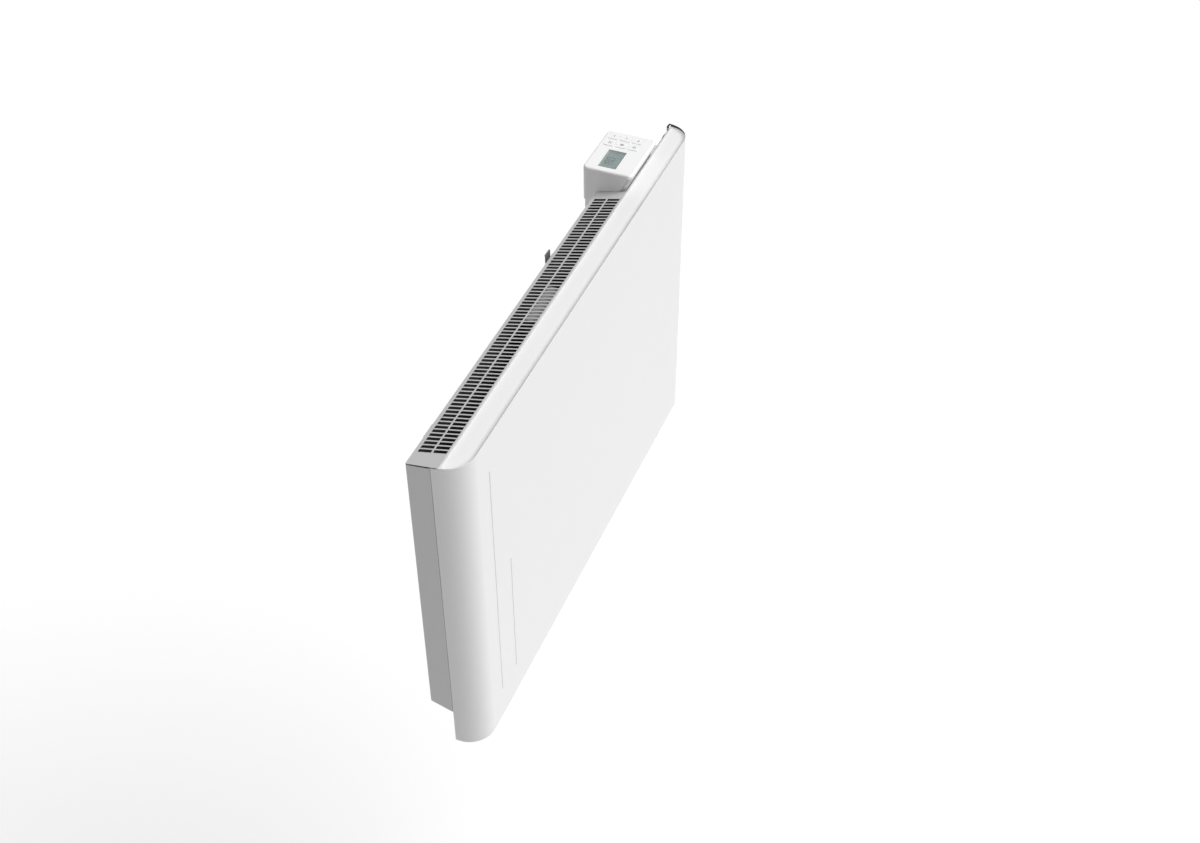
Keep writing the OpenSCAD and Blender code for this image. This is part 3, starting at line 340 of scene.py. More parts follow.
def plainFinish(name, colour, shadeShare, patch, gloss, grain, relief, metal=0, stretch=(1, 1, 1)):
    # paint, moulded plastic, rubber and drawn metal: soft mottling, fine grain, uneven gloss
    finish, t, shader, place = newFinish(name)
    light, fine = tone(*colour), noise(t, place, grain, stretch, detail=4)
    both = t.add("ShaderNodeMix", {"Factor": 0.4, "A": noise(t, place, patch, stretch), "B": fine},
                 data_type="FLOAT")
    mixed = both.outputs["Result"]
    surface(t, shader, ramp(t, mixed, [darker(light, shadeShare), light]), spread(t, mixed, *gloss),
            fine, relief, metal)
    return finish


def spangled(name, dark, light, size, gloss=(0.3, 0.48)):
    # galvanised sheet: crystal patches, each turned its own way
    finish, t, shader, place = newFinish(name)
    grey = t.first("ShaderNodeRGBToBW", {"Color": cells(t, place, size)})
    scratches = noise(t, place, 0.6, (8, 1, 8), detail=2)
    surface(t, shader, ramp(t, grey, [tone(*dark), tone(*light)], 0.1, 0.9),
            spread(t, grey, *gloss, 0.1, 0.9), scratches, 0.004, 0.9)
    return finish


paints = {
    "panel": (240, 240, 240),
    "casing": (217, 217, 217),
    "grille": (203, 203, 203),
    "inside": (62, 63, 65),
    "plastic": (249, 249, 249),
    "recess": (206, 206, 207),
    "stiffener": (140, 140, 141),
    "mark": (118, 118, 121),
    "display": (118, 140, 140),
    "digits": (30, 44, 48),
}
panelPaint = plainFinish("panelPaint", paints["panel"], 0.985, 60, (0.42, 0.5), 1.6, 0.006)
casingPaint = plainFinish("casingPaint", paints["casing"], 0.97, 45, (0.48, 0.58), 1.1, 0.012)
# painted shade: a darker copy of the casing's paint so that the sloping top reads darker; the inlet
# grille, end cover and upstand share it
shadedGrillePaint = plainFinish("shadedGrillePaint", paints["grille"], 0.97, 45, (0.48, 0.58), 1.1, 0.012)
# painted shade: dark paint for the shade inside the casing
paintedShadeInside = plainFinish("paintedShadeInside", paints["inside"], 0.8, 30, (0.5, 0.62), 0.9, 0.02)
whitePlastic = plainFinish("whitePlastic", paints["plastic"], 0.985, 30, (0.44, 0.52), 0.35, 0.012)
# painted shade: a greyer copy of the white plastic for the shadow under the cover's lip
paintedShadeRecess = plainFinish("paintedShadeRecess", paints["recess"], 0.94, 30, (0.5, 0.6), 0.35, 0.012)
stiffenerPaint = plainFinish("stiffenerPaint", paints["stiffener"], 0.9, 20, (0.5, 0.6), 0.9, 0.015)
keyPlastic = plainFinish("keyPlastic", paints["plastic"], 0.98, 12, (0.38, 0.46), 0.3, 0.008)
printInk = plainFinish("printInk", paints["mark"], 0.9, 2, (0.5, 0.6), 0.2, 0.003)
zincSteel = spangled("zincSteel", (158, 160, 162), (205, 206, 207), 7)
# painted shade: galvanised sheet made dark for the shade inside the casing, seen through the slots
paintedShadeDuctSteel = spangled("paintedShadeDuctSteel", (78, 79, 81), (104, 105, 107), 7, (0.4, 0.6))
boltSteel = plainFinish("boltSteel", (118, 119, 121), 0.7, 6, (0.38, 0.6), 0.4, 0.01,
                        0.85, (1, 1, 9))
aluminium = plainFinish("aluminium", (190, 192, 195), 0.86, 8, (0.3, 0.5), 0.3, 0.008,
                        0.95, (14, 1, 1))
sheathSteel = plainFinish("sheathSteel", (104, 100, 97), 0.6, 9, (0.35, 0.55), 0.5, 0.006,
                          0.9, (6, 1, 1))
ceramic = plainFinish("ceramic", (232, 228, 216), 0.94, 3, (0.55, 0.7), 0.25, 0.015)
brass = plainFinish("brass", (201, 170, 96), 0.82, 4, (0.25, 0.42), 0.3, 0.006, 0.95)
blackPlastic = plainFinish("blackPlastic", (38, 38, 40), 0.7, 6, (0.5, 0.62), 0.3, 0.02)
rubber = plainFinish("rubber", (30, 30, 31), 0.75, 5, (0.72, 0.85), 0.5, 0.03)
relayPlastic = plainFinish("relayPlastic", (42, 84, 160), 0.9, 7, (0.35, 0.45), 0.25, 0.01)
terminalPlastic = plainFinish("terminalPlastic", (58, 132, 84), 0.88, 7, (0.45, 0.55), 0.25, 0.015)
tapeYellow = plainFinish("tapeYellow", (226, 178, 58), 0.85, 5, (0.3, 0.42), 0.6, 0.02)


def cableFinish(name, colour, stripe=None):
    # extruded cover: faint lines along the lead, and a second colour in bands where it has one
    finish, t, shader, place = newFinish(name)
    fine = noise(t, place, 0.4, (1, 1, 12), detail=2)
    light = tone(*colour)
    shown = ramp(t, fine, [darker(light, 0.85), light])
    if stripe:
        turn = t.first("ShaderNodeMapping", {"Vector": place, "Scale": (230, 230, 60)})
        bands = t.add("ShaderNodeTexWave", {"Vector": turn, "Scale": 0.5},
                      bands_direction="DIAGONAL")
        shown = ramp(t, bands.outputs["Fac"], [light, tone(*stripe)], 0.48, 0.52)
    surface(t, shader, shown, spread(t, fine, 0.34, 0.46), fine, 0.02)
    return finish


leadBrown = cableFinish("leadBrown", (112, 68, 40))
leadRed = cableFinish("leadRed", (176, 40, 36))
leadBlue = cableFinish("leadBlue", (44, 92, 178))
leadEarth = cableFinish("leadEarth", (92, 158, 60), (228, 206, 54))
leadGrey = cableFinish("leadGrey", (132, 134, 137))


def boardFinish(name):
    # green solder mask with lighter copper tracks and pads under it
    finish, t, shader, place = newFinish(name)
    tracks = cells(t, place, 5.5, feature="DISTANCE_TO_EDGE", output="Distance")
    pads = cells(t, place, 2.6, output="Distance")
    mask = ramp(t, tracks, [tone(52, 122, 72), tone(24, 84, 48)], 0.04, 0.07)
    dots = ramp(t, pads, [(1, 1, 1, 1), (0, 0, 0, 1)], 0.14, 0.18)
    both = t.add("ShaderNodeMix", {"Factor": dots, "A": mask, "B": tone(192, 190, 178)},
                 data_type="RGBA")
    surface(t, shader, both.outputs["Result"], spread(t, tracks, 0.36, 0.28, 0, 0.1), tracks, 0.03)
    return finish


def screenFinish(name):
    # reflective liquid crystal: faint pixel lines and a slow change of tint
    finish, t, shader, place = newFinish(name)
    fine = noise(t, place, 0.25, (1, 8, 1), detail=1)
    colour = tone(*paints["display"])
    tint = ramp(t, noise(t, place, 16), [darker(colour, 0.86), colour], 0.3, 0.62)
    surface(t, shader, tint, spread(t, fine, 0.3, 0.4), fine, 0.003)
    return finish


def windowFinish(name):
    # clear acrylic, faintly tinted, with a moulded ripple too small to see but for its sheen
    finish, t, shader, place = newFinish(name)
    ripple = noise(t, place, 9)
    tint = ramp(t, ripple, [tone(196, 208, 206), tone(208, 218, 216)])
    surface(t, shader, tint, spread(t, ripple, 0.06, 0.1), ripple, 0.01)
    shader.inputs["Alpha"].default_value = 0.16
    return finish


circuitBoard = boardFinish("circuitBoard")
screenGlass = screenFinish("screenGlass")
screenInk = plainFinish("screenInk", paints["digits"], 0.9, 2, (0.3, 0.4), 0.2, 0.002)
windowClear = windowFinish("windowClear")
print("finishes made")

# Trees for what repeats


def newTree(name, sockets):
    tree = bpy.data.node_groups.new(name, "GeometryNodeTree")
    tree.interface.new_socket("Geometry", in_out="INPUT", socket_type="NodeSocketGeometry")
    for label, kind in sockets:
        tree.interface.new_socket(label, in_out="INPUT", socket_type="NodeSocket" + kind)
    tree.interface.new_socket("Geometry", in_out="OUTPUT", socket_type="NodeSocketGeometry")
    t = Tree(tree)
    return tree, t, t.add("NodeGroupInput").outputs, t.add("NodeGroupOutput").inputs


def endTree(t, shape, finish, result):
    # instances become real mesh, and the finish is set on all of it
    real = t.first("GeometryNodeRealizeInstances", {"Geometry": shape})
    painted = t.first("GeometryNodeSetMaterial", {"Geometry": real, "Material": finish})
    t.wire(painted, result["Geometry"])


def grow(piece, tree, values):
    change = piece.modifiers.new("grow", "NODES")
    change.node_group = tree
    for item in tree.interface.items_tree:
        if item.item_type == "SOCKET" and item.in_out == "INPUT" and item.name in values:
            change[item.identifier] = values[item.name]
    return settle(piece)


def slotTree():
    # rows of round-cornered slots cut through a plate
    tree, t, given, result = newTree("cutSlots", [
        ("Slots", "Int"), ("Pitch", "Float"), ("First Slot", "Vector"), ("Rows", "Int"),
        ("Row Step", "Vector"), ("Slot Width", "Float"), ("Slot Length", "Float"),
        ("Corner", "Float"), ("Cut", "Float"), ("Tilt", "Vector"), ("Finish", "Material")])
    step = t.first("ShaderNodeCombineXYZ", {"X": given["Pitch"]})
    line = t.first("GeometryNodeMeshLine", {
        "Count": given["Slots"], "Start Location": given["First Slot"], "Offset": step},
        mode="OFFSET")
    rows = t.first("GeometryNodeMeshLine", {
        "Count": given["Rows"], "Offset": given["Row Step"]}, mode="OFFSET")
    lines = t.first("GeometryNodeInstanceOnPoints", {"Points": rows, "Instance": line})
    places = t.first("GeometryNodeRealizeInstances", {"Geometry": lines})
    outline = t.first("GeometryNodeCurvePrimitiveQuadrilateral", {
        "Width": given["Slot Width"], "Height": given["Slot Length"]})
    corners = t.first("GeometryNodeFilletCurve", {
        "Curve": outline, "Count": 3, "Radius": given["Corner"]}, mode="POLY")
    filled = t.first("GeometryNodeFillCurve", {"Curve": corners}, mode="NGONS")
    lift = t.first("GeometryNodeExtrudeMesh", {
        "Mesh": filled, "Offset Scale": given["Cut"], "Individual": False})
    closed = t.add("GeometryNodeJoinGeometry", {"Geometry": lift})
    t.wire(t.first("GeometryNodeFlipFaces", {"Mesh": filled}), closed.inputs["Geometry"])
    welded = t.first("GeometryNodeMergeByDistance", {
        "Geometry": closed.outputs["Geometry"], "Distance": 1e-6})
    half = t.first("ShaderNodeMath", {0: given["Cut"], 1: -0.5}, operation="MULTIPLY")
    centred = t.first("GeometryNodeTransform", {
        "Geometry": welded, "Translation": t.first("ShaderNodeCombineXYZ", {"Z": half})})
    cutters = t.first("GeometryNodeInstanceOnPoints", {
        "Points": places, "Instance": centred, "Rotation": given["Tilt"]})
    real = t.first("GeometryNodeRealizeInstances", {"Geometry": cutters})
    cut = t.first("GeometryNodeMeshBoolean", {"Mesh 1": given["Geometry"], "Mesh 2": real},
                  operation="DIFFERENCE", solver="EXACT")
    endTree(t, cut, given["Finish"], result)
    return tree


def scatterTree():
    # one shape set at every point of the piece
    tree, t, given, result = newTree("scatterShape", [
        ("Shape", "Object"), ("Turn", "Vector"), ("Finish", "Material")])
    source = t.add("GeometryNodeObjectInfo", {"Object": given["Shape"]}).outputs["Geometry"]
    places = t.first("GeometryNodeInstanceOnPoints", {
        "Points": given["Geometry"], "Instance": source, "Rotation": given["Turn"]})
    endTree(t, places, given["Finish"], result)
    return tree


def tubeTree():
    # a round tube along the piece's edges, with an even bend at each corner
    tree, t, given, result = newTree("bendTube", [
        ("Radius", "Float"), ("Bend", "Float"), ("Sides", "Int"), ("Finish", "Material")])
    path = t.first("GeometryNodeMeshToCurve", {"Mesh": given["Geometry"]})
    bends = t.first("GeometryNodeFilletCurve", {
        "Curve": path, "Count": 8, "Radius": given["Bend"], "Limit Radius": True}, mode="POLY")
    ring = t.first("GeometryNodeCurvePrimitiveCircle", {
        "Resolution": given["Sides"], "Radius": given["Radius"]})
    tube = t.first("GeometryNodeCurveToMesh", {
        "Curve": bends, "Profile Curve": ring, "Fill Caps": True})
    endTree(t, tube, given["Finish"], result)
    return tree


cutSlots, scatterShape, bendTube = slotTree(), scatterTree(), tubeTree()
print("trees made")


def scatter(name, shape, points, finish, nodes=(), turn=(0, 0, 0)):
    # the shape is used up; turn is in degrees
    piece = meshPiece(name, points, [])
    turns = [radians(a) for a in turn]
    grow(piece, scatterShape, {"Shape": shape, "Turn": turns, "Finish": finish})
    bpy.data.objects.remove(shape)
    return dress(shade(tidy(piece, 0.001)), None, nodes=nodes)


def copySheet(node, name, finish, width, segments=2, angle=40, clamp=False):
    # the CAD node's own shape with soft edges
    body = node if node.startswith("bolt") else "heater"
    made = shade(soften(copyOf(node, name), width, segments, angle, clamp))
    dress(made, finish, body, [node])


def middleOf(pair, **given):
    # the middle of a box, but for the coordinates that are given
    a, b = pair
    return tuple(given.get(axis, (a[i] + b[i]) / 2) for i, axis in enumerate("xyz"))


# Front panel

panel = {
    "sheet": 1.2, "noseRadius": 30, "returnRadius": 1.6, "noseSteps": 36,
    "topRound": 0.25, "footRound": 0.3, "reach": 0.26,
    "bandDepth": 27.3, "dish": 3, "rim": 0.6, "cove": 8,
    "coveSteps": (48, 43, 38, 33, 28, 23, 18, 13, 8, 4, 0), "upstand": 1.98, "upstandCove": 0.5,
    "upstandEdge": 0.4, "flange": 8, "lip": 12, "hem": 9, "hemEnd": 30,
    "curlDepth": 30.5, "curlLength": 10, "curlStart": 2.8, "curlRadius": 4, "curlWall": 1.4,
    "curlEdge": 0.45, "endFall": 18, "seatLength": 40, "seatDepth": 1.3, "plateFall": 9.5,
    "plateReach": 28.3, "grooveWidth": 1.9, "grooveDepth": 0.9, "grooveFoot": 41,
    "grooveFlare": 0.3, "grooves": [(54.2, 43), (91.6, 203)],
}


def panelOutline(inset):
    low, high = span("front_panel")
    high[1] += panel["reach"]    # closes the seam with the casing
    nose, turn, steps = panel["noseRadius"], panel["returnRadius"], panel["noseSteps"]
    return (arc((low[0] + nose, low[1] + nose), nose - inset, 180, 270, steps)
            + arc((high[0] - nose, low[1] + nose), nose - inset, 270, 360, steps)
            + arc((high[0] - turn, high[1] - turn), turn - inset, 0, 90, 8)
            + arc((low[0] + turn, high[1] - turn), turn - inset, 90, 180, 8))


def dishOutline(inset, back):
    low, high = span("front_panel")
    nose, steps = panel["noseRadius"], panel["noseSteps"]
    centre, radius = low[1] + nose, nose - inset
    skip = degrees(asin((centre - back) / radius))
    return (arc((low[0] + nose, centre), radius, 180 + skip, 270, steps)
            + arc((high[0] - nose, centre), radius, 270, 360 - skip, steps))


def curlOutline(inset, near):
    # plan of the right end's curl; near is where it starts along the band
    low, high = span("front_panel")
    rear, radius = low[1] + panel["curlDepth"], panel["curlRadius"]
    front, start = low[1] + panel["bandDepth"] - 0.6, panel["curlStart"]
    return ([(near + inset, front), (high[0] - 0.14 - inset, front)]
            + arc((high[0] - radius - 0.07, rear - radius), radius - 0.07 - inset, 0, 90, 10)
            + arc((near + start, rear - start), start - inset, 90, 180, 8))


def makeFrontPanel():
    low, high = span("front_panel")
    x0, y0, z0 = low
    x1, y1, z1 = high
    sheet, dish, rim, cove = panel["sheet"], panel["dish"], panel["rim"], panel["cove"]
    bandBack = y0 + panel["bandDepth"]
    floor = z1 - dish
    under = floor - sheet
    # outer body with a soft top edge
    top, foot = panel["topRound"], panel["footRound"]
    rings = [level(panelOutline(foot), z0), level(panelOutline(0), z0 + foot)]
    for i in range(7):
        a = radians(15 * i)
        rings.append(level(panelOutline(top * (1 - cos(a))), z1 - top + top * sin(a)))
    body = loft("frontPanel", rings)
    inner = panelOutline(sheet)
    combine(body, bar("inside", inner, z0 - 1, under))
    combine(body, bar("behindBand", clipBehind(inner, bandBack), under - 3, z1 + 1))
    # flange that hangs from the band's back edge
    flange = block("flange", (x0 + 0.5, bandBack - sheet, under - panel["flange"]),
                   (x1 - 0.5, bandBack, under + 0.6))
    combine(body, flange, "UNION")
    # dish: the rim's inner edge, then a cove down to the flat floor
    run = sqrt(2 * cove * dish - dish * dish)
    back = bandBack + 0.6
    rings = [level(dishOutline(rim - 0.35, back), z1 + 1), level(dishOutline(rim - 0.35, back), z1)]
    rings.append(level(dishOutline(rim - 0.12, back), z1 - 0.07))
    for a in panel["coveSteps"]:
        inset = rim + run - cove * sin(radians(a))
        rings.append(level(dishOutline(inset, back), floor + cove * (1 - cos(radians(a)))))
    combine(body, loft("dish", rings))
    # a low upstand along the band's back edge, up to the grille plate
    top, bend, back = floor + panel["upstand"], panel["upstandCove"], bandBack - 0.02
    near, front, soft = x1 - panel["curlLength"], bandBack - sheet, panel["upstandEdge"]
    edge = [(back, floor - soft), (back, top)] + arc((front + soft, top - soft), soft, 90, 180, 5)
    edge += arc((front - bend, floor + bend), bend, 0, -90, 8) + [(front - bend, floor - soft)]
    combine(body, bar("upstand", edge, x0 + rim + 0.2, near + 0.3, "x"), "UNION")
    # the right end curls round behind the band
    edge, curl = panel["curlEdge"], [level(curlOutline(0, near), under)]
    for i in range(5):
        a = radians(22.5 * i)
        curl.append(level(curlOutline(edge * (1 - cos(a)), near), z1 - edge + edge * sin(a)))
    curlBody = loft("curl", curl)
    combine(curlBody, bar("curlInside", curlOutline(panel["curlWall"], near), floor, z1 + 1))
    combine(body, curlBody, "UNION")
    rear, radius = y0 + panel["curlDepth"], panel["curlRadius"]
    start, foot = rear - radius - 1, z1 - panel["endFall"]
    outside = ([(x1 + 1, rear - radius), (x1 + 0.001, rear - radius)]
               + arc((x1 - radius, rear - radius), radius, 0, 90, 10)
               + [(x1 - radius, rear + 5), (x1 + 1, rear + 5)])
    corner = bar("corner", outside, foot, z1 + 1)
    slope = [(start, z1 + 2), (start, z1 + 0.5), (y1 + 1, foot), (y1 + 1, z1 + 2)]
    combine(corner, bar("cornerSlope", slope, x1 - 8, x1 + 3, "x"), "INTERSECT")
    combine(body, corner)
    fall = [(rear, z1 + 0.5), (y1 + 1, foot - 1.5), (y1 + 1, z1 + 2), (rear, z1 + 2)]
    combine(body, bar("fall", fall, x1 - panel["lip"] - 2, x1 + 1, "x"))
    # room for the sloping plate over the left end
    tilt = panel["plateFall"] / (y1 + panel["plateReach"] - bandBack)
    start = z1 - panel["seatDepth"]
    seat = [(bandBack, start), (y1 + 1, start - tilt * (y1 + 1 - bandBack)), (y1 + 1, z1 + 2),
            (bandBack, z1 + 2)]
    combine(body, bar("seat", seat, x0 - 1, x0 + panel["seatLength"], "x"))
    # lips behind each end, and the hem along the foot
    lip, end = panel["lip"], panel["hemEnd"]
    between = block("betweenLips", (x0 + lip, y1 - sheet - 1, z0 - 1), (x1 - lip, y1 + 1, z1 + 2))
    combine(body, between)
    hem = block("hem", (x0 + end, y0 + 0.6, z0), (x1 - end, y0 + panel["hem"], z0 + sheet))
    combine(body, soften(hem, 0.3), "UNION")
    # pressed grooves
    half, flare = panel["grooveWidth"] / 2, panel["grooveFlare"]
    side = [(half + flare, -flare), (half, 0), (half * 0.6, panel["grooveDepth"])]
    for x, drop in panel["grooves"]:
        groove = [(x0 + x - p, y0 + q) for p, q in side]
        groove += [(x0 + x + p, y0 + q) for p, q in side[::-1]]
        combine(body, bar("groove", groove, z0 + panel["grooveFoot"], z1 - drop))
    return body


def shadeUpstand(piece):
    # painted shade: the upstand's faces take the darker grille paint to tone down how brightly they
    # catch the light
    low, high = span("front_panel")
    back, floor = low[1] + panel["bandDepth"], high[2] - panel["dish"]
    piece.data.materials.append(shadedGrillePaint)
    for face in piece.data.polygons:
        x, y, z = face.center / mm
        along = low[0] + panel["rim"] < x < high[0] - panel["curlLength"]
        if along and back - 2 < y < back + 0.01 and z > floor + 0.02:
            face.material_index = 1


def makeStuds():
    # weld studs behind the front sheet, each with a shoulder
    front = span("front_panel")[0][1] + panel["sheet"]
    profile = [(3.4, 0.0), (4, 0.4), (4, 4.5), (3.7, 4.8), (2, 4.8), (2, 8.6), (1.6, 9.1)]
    places = [middleOf(pair, y=front - 0.1) for pair in islands("panel_nuts")]
    scatter("panelStuds", turned("stud", profile, axis="y"), places, zincSteel)


# painted shade: sizes of the dark strip that stands in for the shaded inner wall at the right end
endSeal = {"outside": 0.1, "inside": 2.5, "deep": 2.8, "proud": 0.26}


def makeShadeStrip():
    # painted shade: a dark rubber strip over the edge of the right end stands in for the shaded
    # inner wall there, thinning out round the nose
    low, high = span("front_panel")
    near, rear = high[0] - panel["curlLength"], low[1] + panel["curlDepth"]
    start, radius, nose = panel["curlStart"], panel["curlRadius"], panel["noseRadius"]
    turns = [[180 - 10 * i for i in range(10)], [90 - 10 * i for i in range(10)],
             [-5 * i for i in range(13)]]

    def path(inset, share):
        way = [(near + inset, rear - start - 0.8)]
        for centre, bend, angles in (((near + start, rear - start), start, turns[0]),
                                     ((high[0] - radius, rear - radius), radius, turns[1]),
                                     ((high[0] - nose, low[1] + nose), nose, turns[2])):
            for i, a in enumerate(angles):
                a, reach = radians(a), bend - inset * (1 if bend < nose else 1 - share * i / 12)
                way.append((centre[0] + reach * cos(a), centre[1] + reach * sin(a)))
        return way
    outer, inner = path(endSeal["outside"], 0), path(endSeal["inside"], 0.72)
    rings, top = [], high[2]
    for i, (a, b) in enumerate(zip(outer, inner)):
        fade = max(0, i - 20) / 14
        foot = top - endSeal["deep"] * (1 - 0.8 * fade)
        proud = top + endSeal["proud"] * (1 - fade)
        crown = [(a[0] * (1 - k) + b[0] * k, a[1] * (1 - k) + b[1] * k, proud)
                 for k in (0.15, 0.75)]
        rings.append([(*a, top - 0.35), (*a, proud - 0.08), *crown, (*b, proud - 0.15), (*b, foot)])
    return loft("endSeal", rings)


frontPanel = makeFrontPanel()
shade(frontPanel, 34)
dress(frontPanel, panelPaint, nodes=["front_panel"])
shadeUpstand(frontPanel)
makeStuds()
dress(shade(makeShadeStrip(), 40), rubber)
print("front panel made")

# Grilles: one sloping plate over the outlet and one in the casing's underside

grille = {
    "sheet": 1, "seen": 0.45, "pitch": 6, "slotWidth": 4.1, "slotLength": 14.55, "rib": 2,
    "margin": 4.2, "firstSlot": 23.9, "lastSlot": 16.6, "corner": 0.6, "cut": 6, "edge": 0.12,
    "overBand": 0.6, "draft": 3.6, "shadowGap": (1.75, 0.6),
}


def slopePlate(name, corners, sheet, tiltHeight):
    # corners are plan points; tiltHeight gives the height of the upper face at a depth
    return loft(name, [[(x, y, tiltHeight(y) - under) for x, y in corners] for under in (sheet, 0)])


def makeOutletGrille():
    low, high = span("outlet_grille")
    tall = (high[2] - low[2] - grille["sheet"]) / (high[1] - low[1])
    front = low[1] - 0.3 - grille["overBand"]
    slots, end = 0, high[0] - grille["lastSlot"]
    while low[0] + grille["firstSlot"] + slots * grille["pitch"] < end:
        slots += 1
    corners = [(low[0], low[1]), (low[0] + 1, front), (high[0], front), (high[0], high[1]),
               (low[0] + grille["draft"], high[1])]
    plate = slopePlate("outletGrille", corners, grille["seen"],
                       lambda y: high[2] - tall * max(0, y - low[1]))
    rowStep = grille["slotLength"] + grille["rib"]
    rearRow = high[1] - grille["margin"] - grille["slotLength"] / 2
    frontRow = rearRow - rowStep
    panelEnd = span("front_panel")[0][0]
    grow(plate, cutSlots, {
        "Slots": slots, "Pitch": grille["pitch"] * mm,
        "First Slot": [(panelEnd + grille["firstSlot"]) * mm, frontRow * mm,
                       (high[2] - tall * (frontRow - low[1]) - 0.5) * mm],
        "Rows": 2, "Row Step": [0, rowStep * mm, -tall * rowStep * mm],
        "Slot Width": grille["slotWidth"] * mm, "Slot Length": grille["slotLength"] * mm,
        "Corner": grille["corner"] * mm, "Cut": grille["cut"] * mm, "Tilt": [0, 0, 0],
        "Finish": shadedGrillePaint})
    shade(soften(plate, grille["edge"], 1, 50))
    dress(plate, shadedGrillePaint, nodes=["outlet_grille"])


makeOutletGrille()
copySheet("inlet_grille", "inletGrille", shadedGrillePaint, grille["edge"], 1, 50)
copySheet("top_end_cover", "topEndCover", shadedGrillePaint, 0.25, angle=35)
print("grilles made")

# Rear casing

casingShape = {"fold": 1.1, "foldSteps": 4, "edge": 0.2, "near": 4, "shortest": 25}


def isFold(edge, low, high):
    # the long upright edges at the sides and the foot's edges are folded sheet
    a, b = [v.co / mm for v in edge.verts]
    near = casingShape["near"]
    atEnd = min(a[0], b[0]) < low[0] + near or max(a[0], b[0]) > high[0] - near
    upright = abs(a[0] - b[0]) < 1 and atEnd
    foot = max(a[2], b[2]) < low[2] + 5 and abs(a[2] - b[2]) < 1
    atBack = min(a[1], b[1]) > high[1] - 0.02
    return (a - b).length > casingShape["shortest"] and (
        (atBack and (upright or foot)) or (foot and upright))


def makeCasing():
    casing = copyOf("rear_casing", "rearCasing")
    low, high = span("rear_casing")
    bm = bmesh.new()
    bm.from_mesh(casing.data)
    bm.edges.ensure_lookup_table()
    folds = [edge for edge in bm.edges if isFold(edge, low, high)]
    bmesh.ops.bevel(bm, geom=folds, offset=casingShape["fold"] * mm, profile=0.5, affect="EDGES",
                    segments=casingShape["foldSteps"], clamp_overlap=False)
    bm.to_mesh(casing.data)
    bm.free()
    # dark line under the outlet plate's edge
    plate = span("outlet_grille")
    fall = (plate[1][2] - plate[0][2] - grille["sheet"]) / (plate[1][1] - plate[0][1])
    foot, top = grille["shadowGap"]
    near, far = low[1] - 1, high[1] + 1
    gap = [(y, plate[1][2] - fall * (y - plate[0][1]) - drop)
           for y, drop in ((near, foot), (far, foot), (far, top), (near, top))]
    combine(casing, bar("shadowGap", gap, low[0] - 1, low[0] + 6, "x"))
    shade(soften(casing, casingShape["edge"], 2, 40), 30)
    dress(casing, casingPaint, nodes=["rear_casing"])
    # painted shade: the inside faces are painted dark for the shade inside the casing, which
    # darkens the view through the slots
    casing.data.materials.append(paintedShadeInside)
    middle = (Vector(low) + Vector(high)) / 2
    for face in casing.data.polygons:
        out = face.center / mm - middle
        wall = face.normal.x * out.x + face.normal.y * (face.center.y / mm - high[1] + 2)
        if wall < -0.5 and abs(face.normal.z) < 0.5:
            face.material_index = 1


makeCasing()
print("casing made")

# Control box

controlBox = {
    "wall": 2, "corner": 6, "topRound": 2.5, "lip": 5, "undercut": 8.5, "windowStep": 1.2,
    "windowGap": 0.05, "ledge": 1.5, "keyGap": 0.3, "keyEdge": 0.25, "pilot": 1.05, "post": 2,
    "column": 3.5, "columnTall": 16, "columnBore": 1.55, "longScrew": 5.5,
}
keyShape = {"flange": 0.8, "corner": 1.5, "edge": 0.3, "flangeDrop": 2.15, "markLift": 0.03,
            "markWidth": 0.55}
keyNames = ["key_power", "key_mode", "key_menu", "key_back", "key_down", "key_up"]


def coverRings(inset, foot):
    low, high = span("control_cover")
    x0, x1, y0, y1 = low[0] + inset, high[0] - inset, low[1], high[1] - inset
    top, crease = high[2] - inset, span("front_panel")[1][2]
    under = y0 + controlBox["undercut"]
    lipFoot = high[2] - controlBox["lip"]
    radius = controlBox["corner"] - inset
    steps = [(foot, under), (crease - 1.6, under), (crease - 0.7, under - 0.12),
             (crease, under - 0.42), (crease + 0.8, under - 0.95), (crease + 2, under - 1.65)]
    for share in (0.3, 0.6, 0.88):
        steps.append((crease + 2 + (lipFoot - crease - 3) * share,
                      under - 1.65 - (controlBox["undercut"] - 2.6) * share))
    steps += [(lipFoot - 0.2, y0 + 0.5), (lipFoot + 0.5, y0 + 0.15), (lipFoot + 1.3, y0)]
    rings = [level(roundedBox(x0, x1, y + inset, y1, radius, 10), z)
             for z, y in steps if z < top - 3]
    turn = max(controlBox["topRound"] - inset, 0.4)
    for i in range(8):
        a = radians(90 * i / 7)
        k = turn * (1 - cos(a))
        outline = roundedBox(x0 + k, x1 - k, y0 + inset + k, y1 - k, max(radius - k, 0.3), 10)
        rings.append(level(outline, top - turn + turn * sin(a)))
    return rings


def isLong(pair):
    return pair[1][2] - pair[0][2] > controlBox["longScrew"]


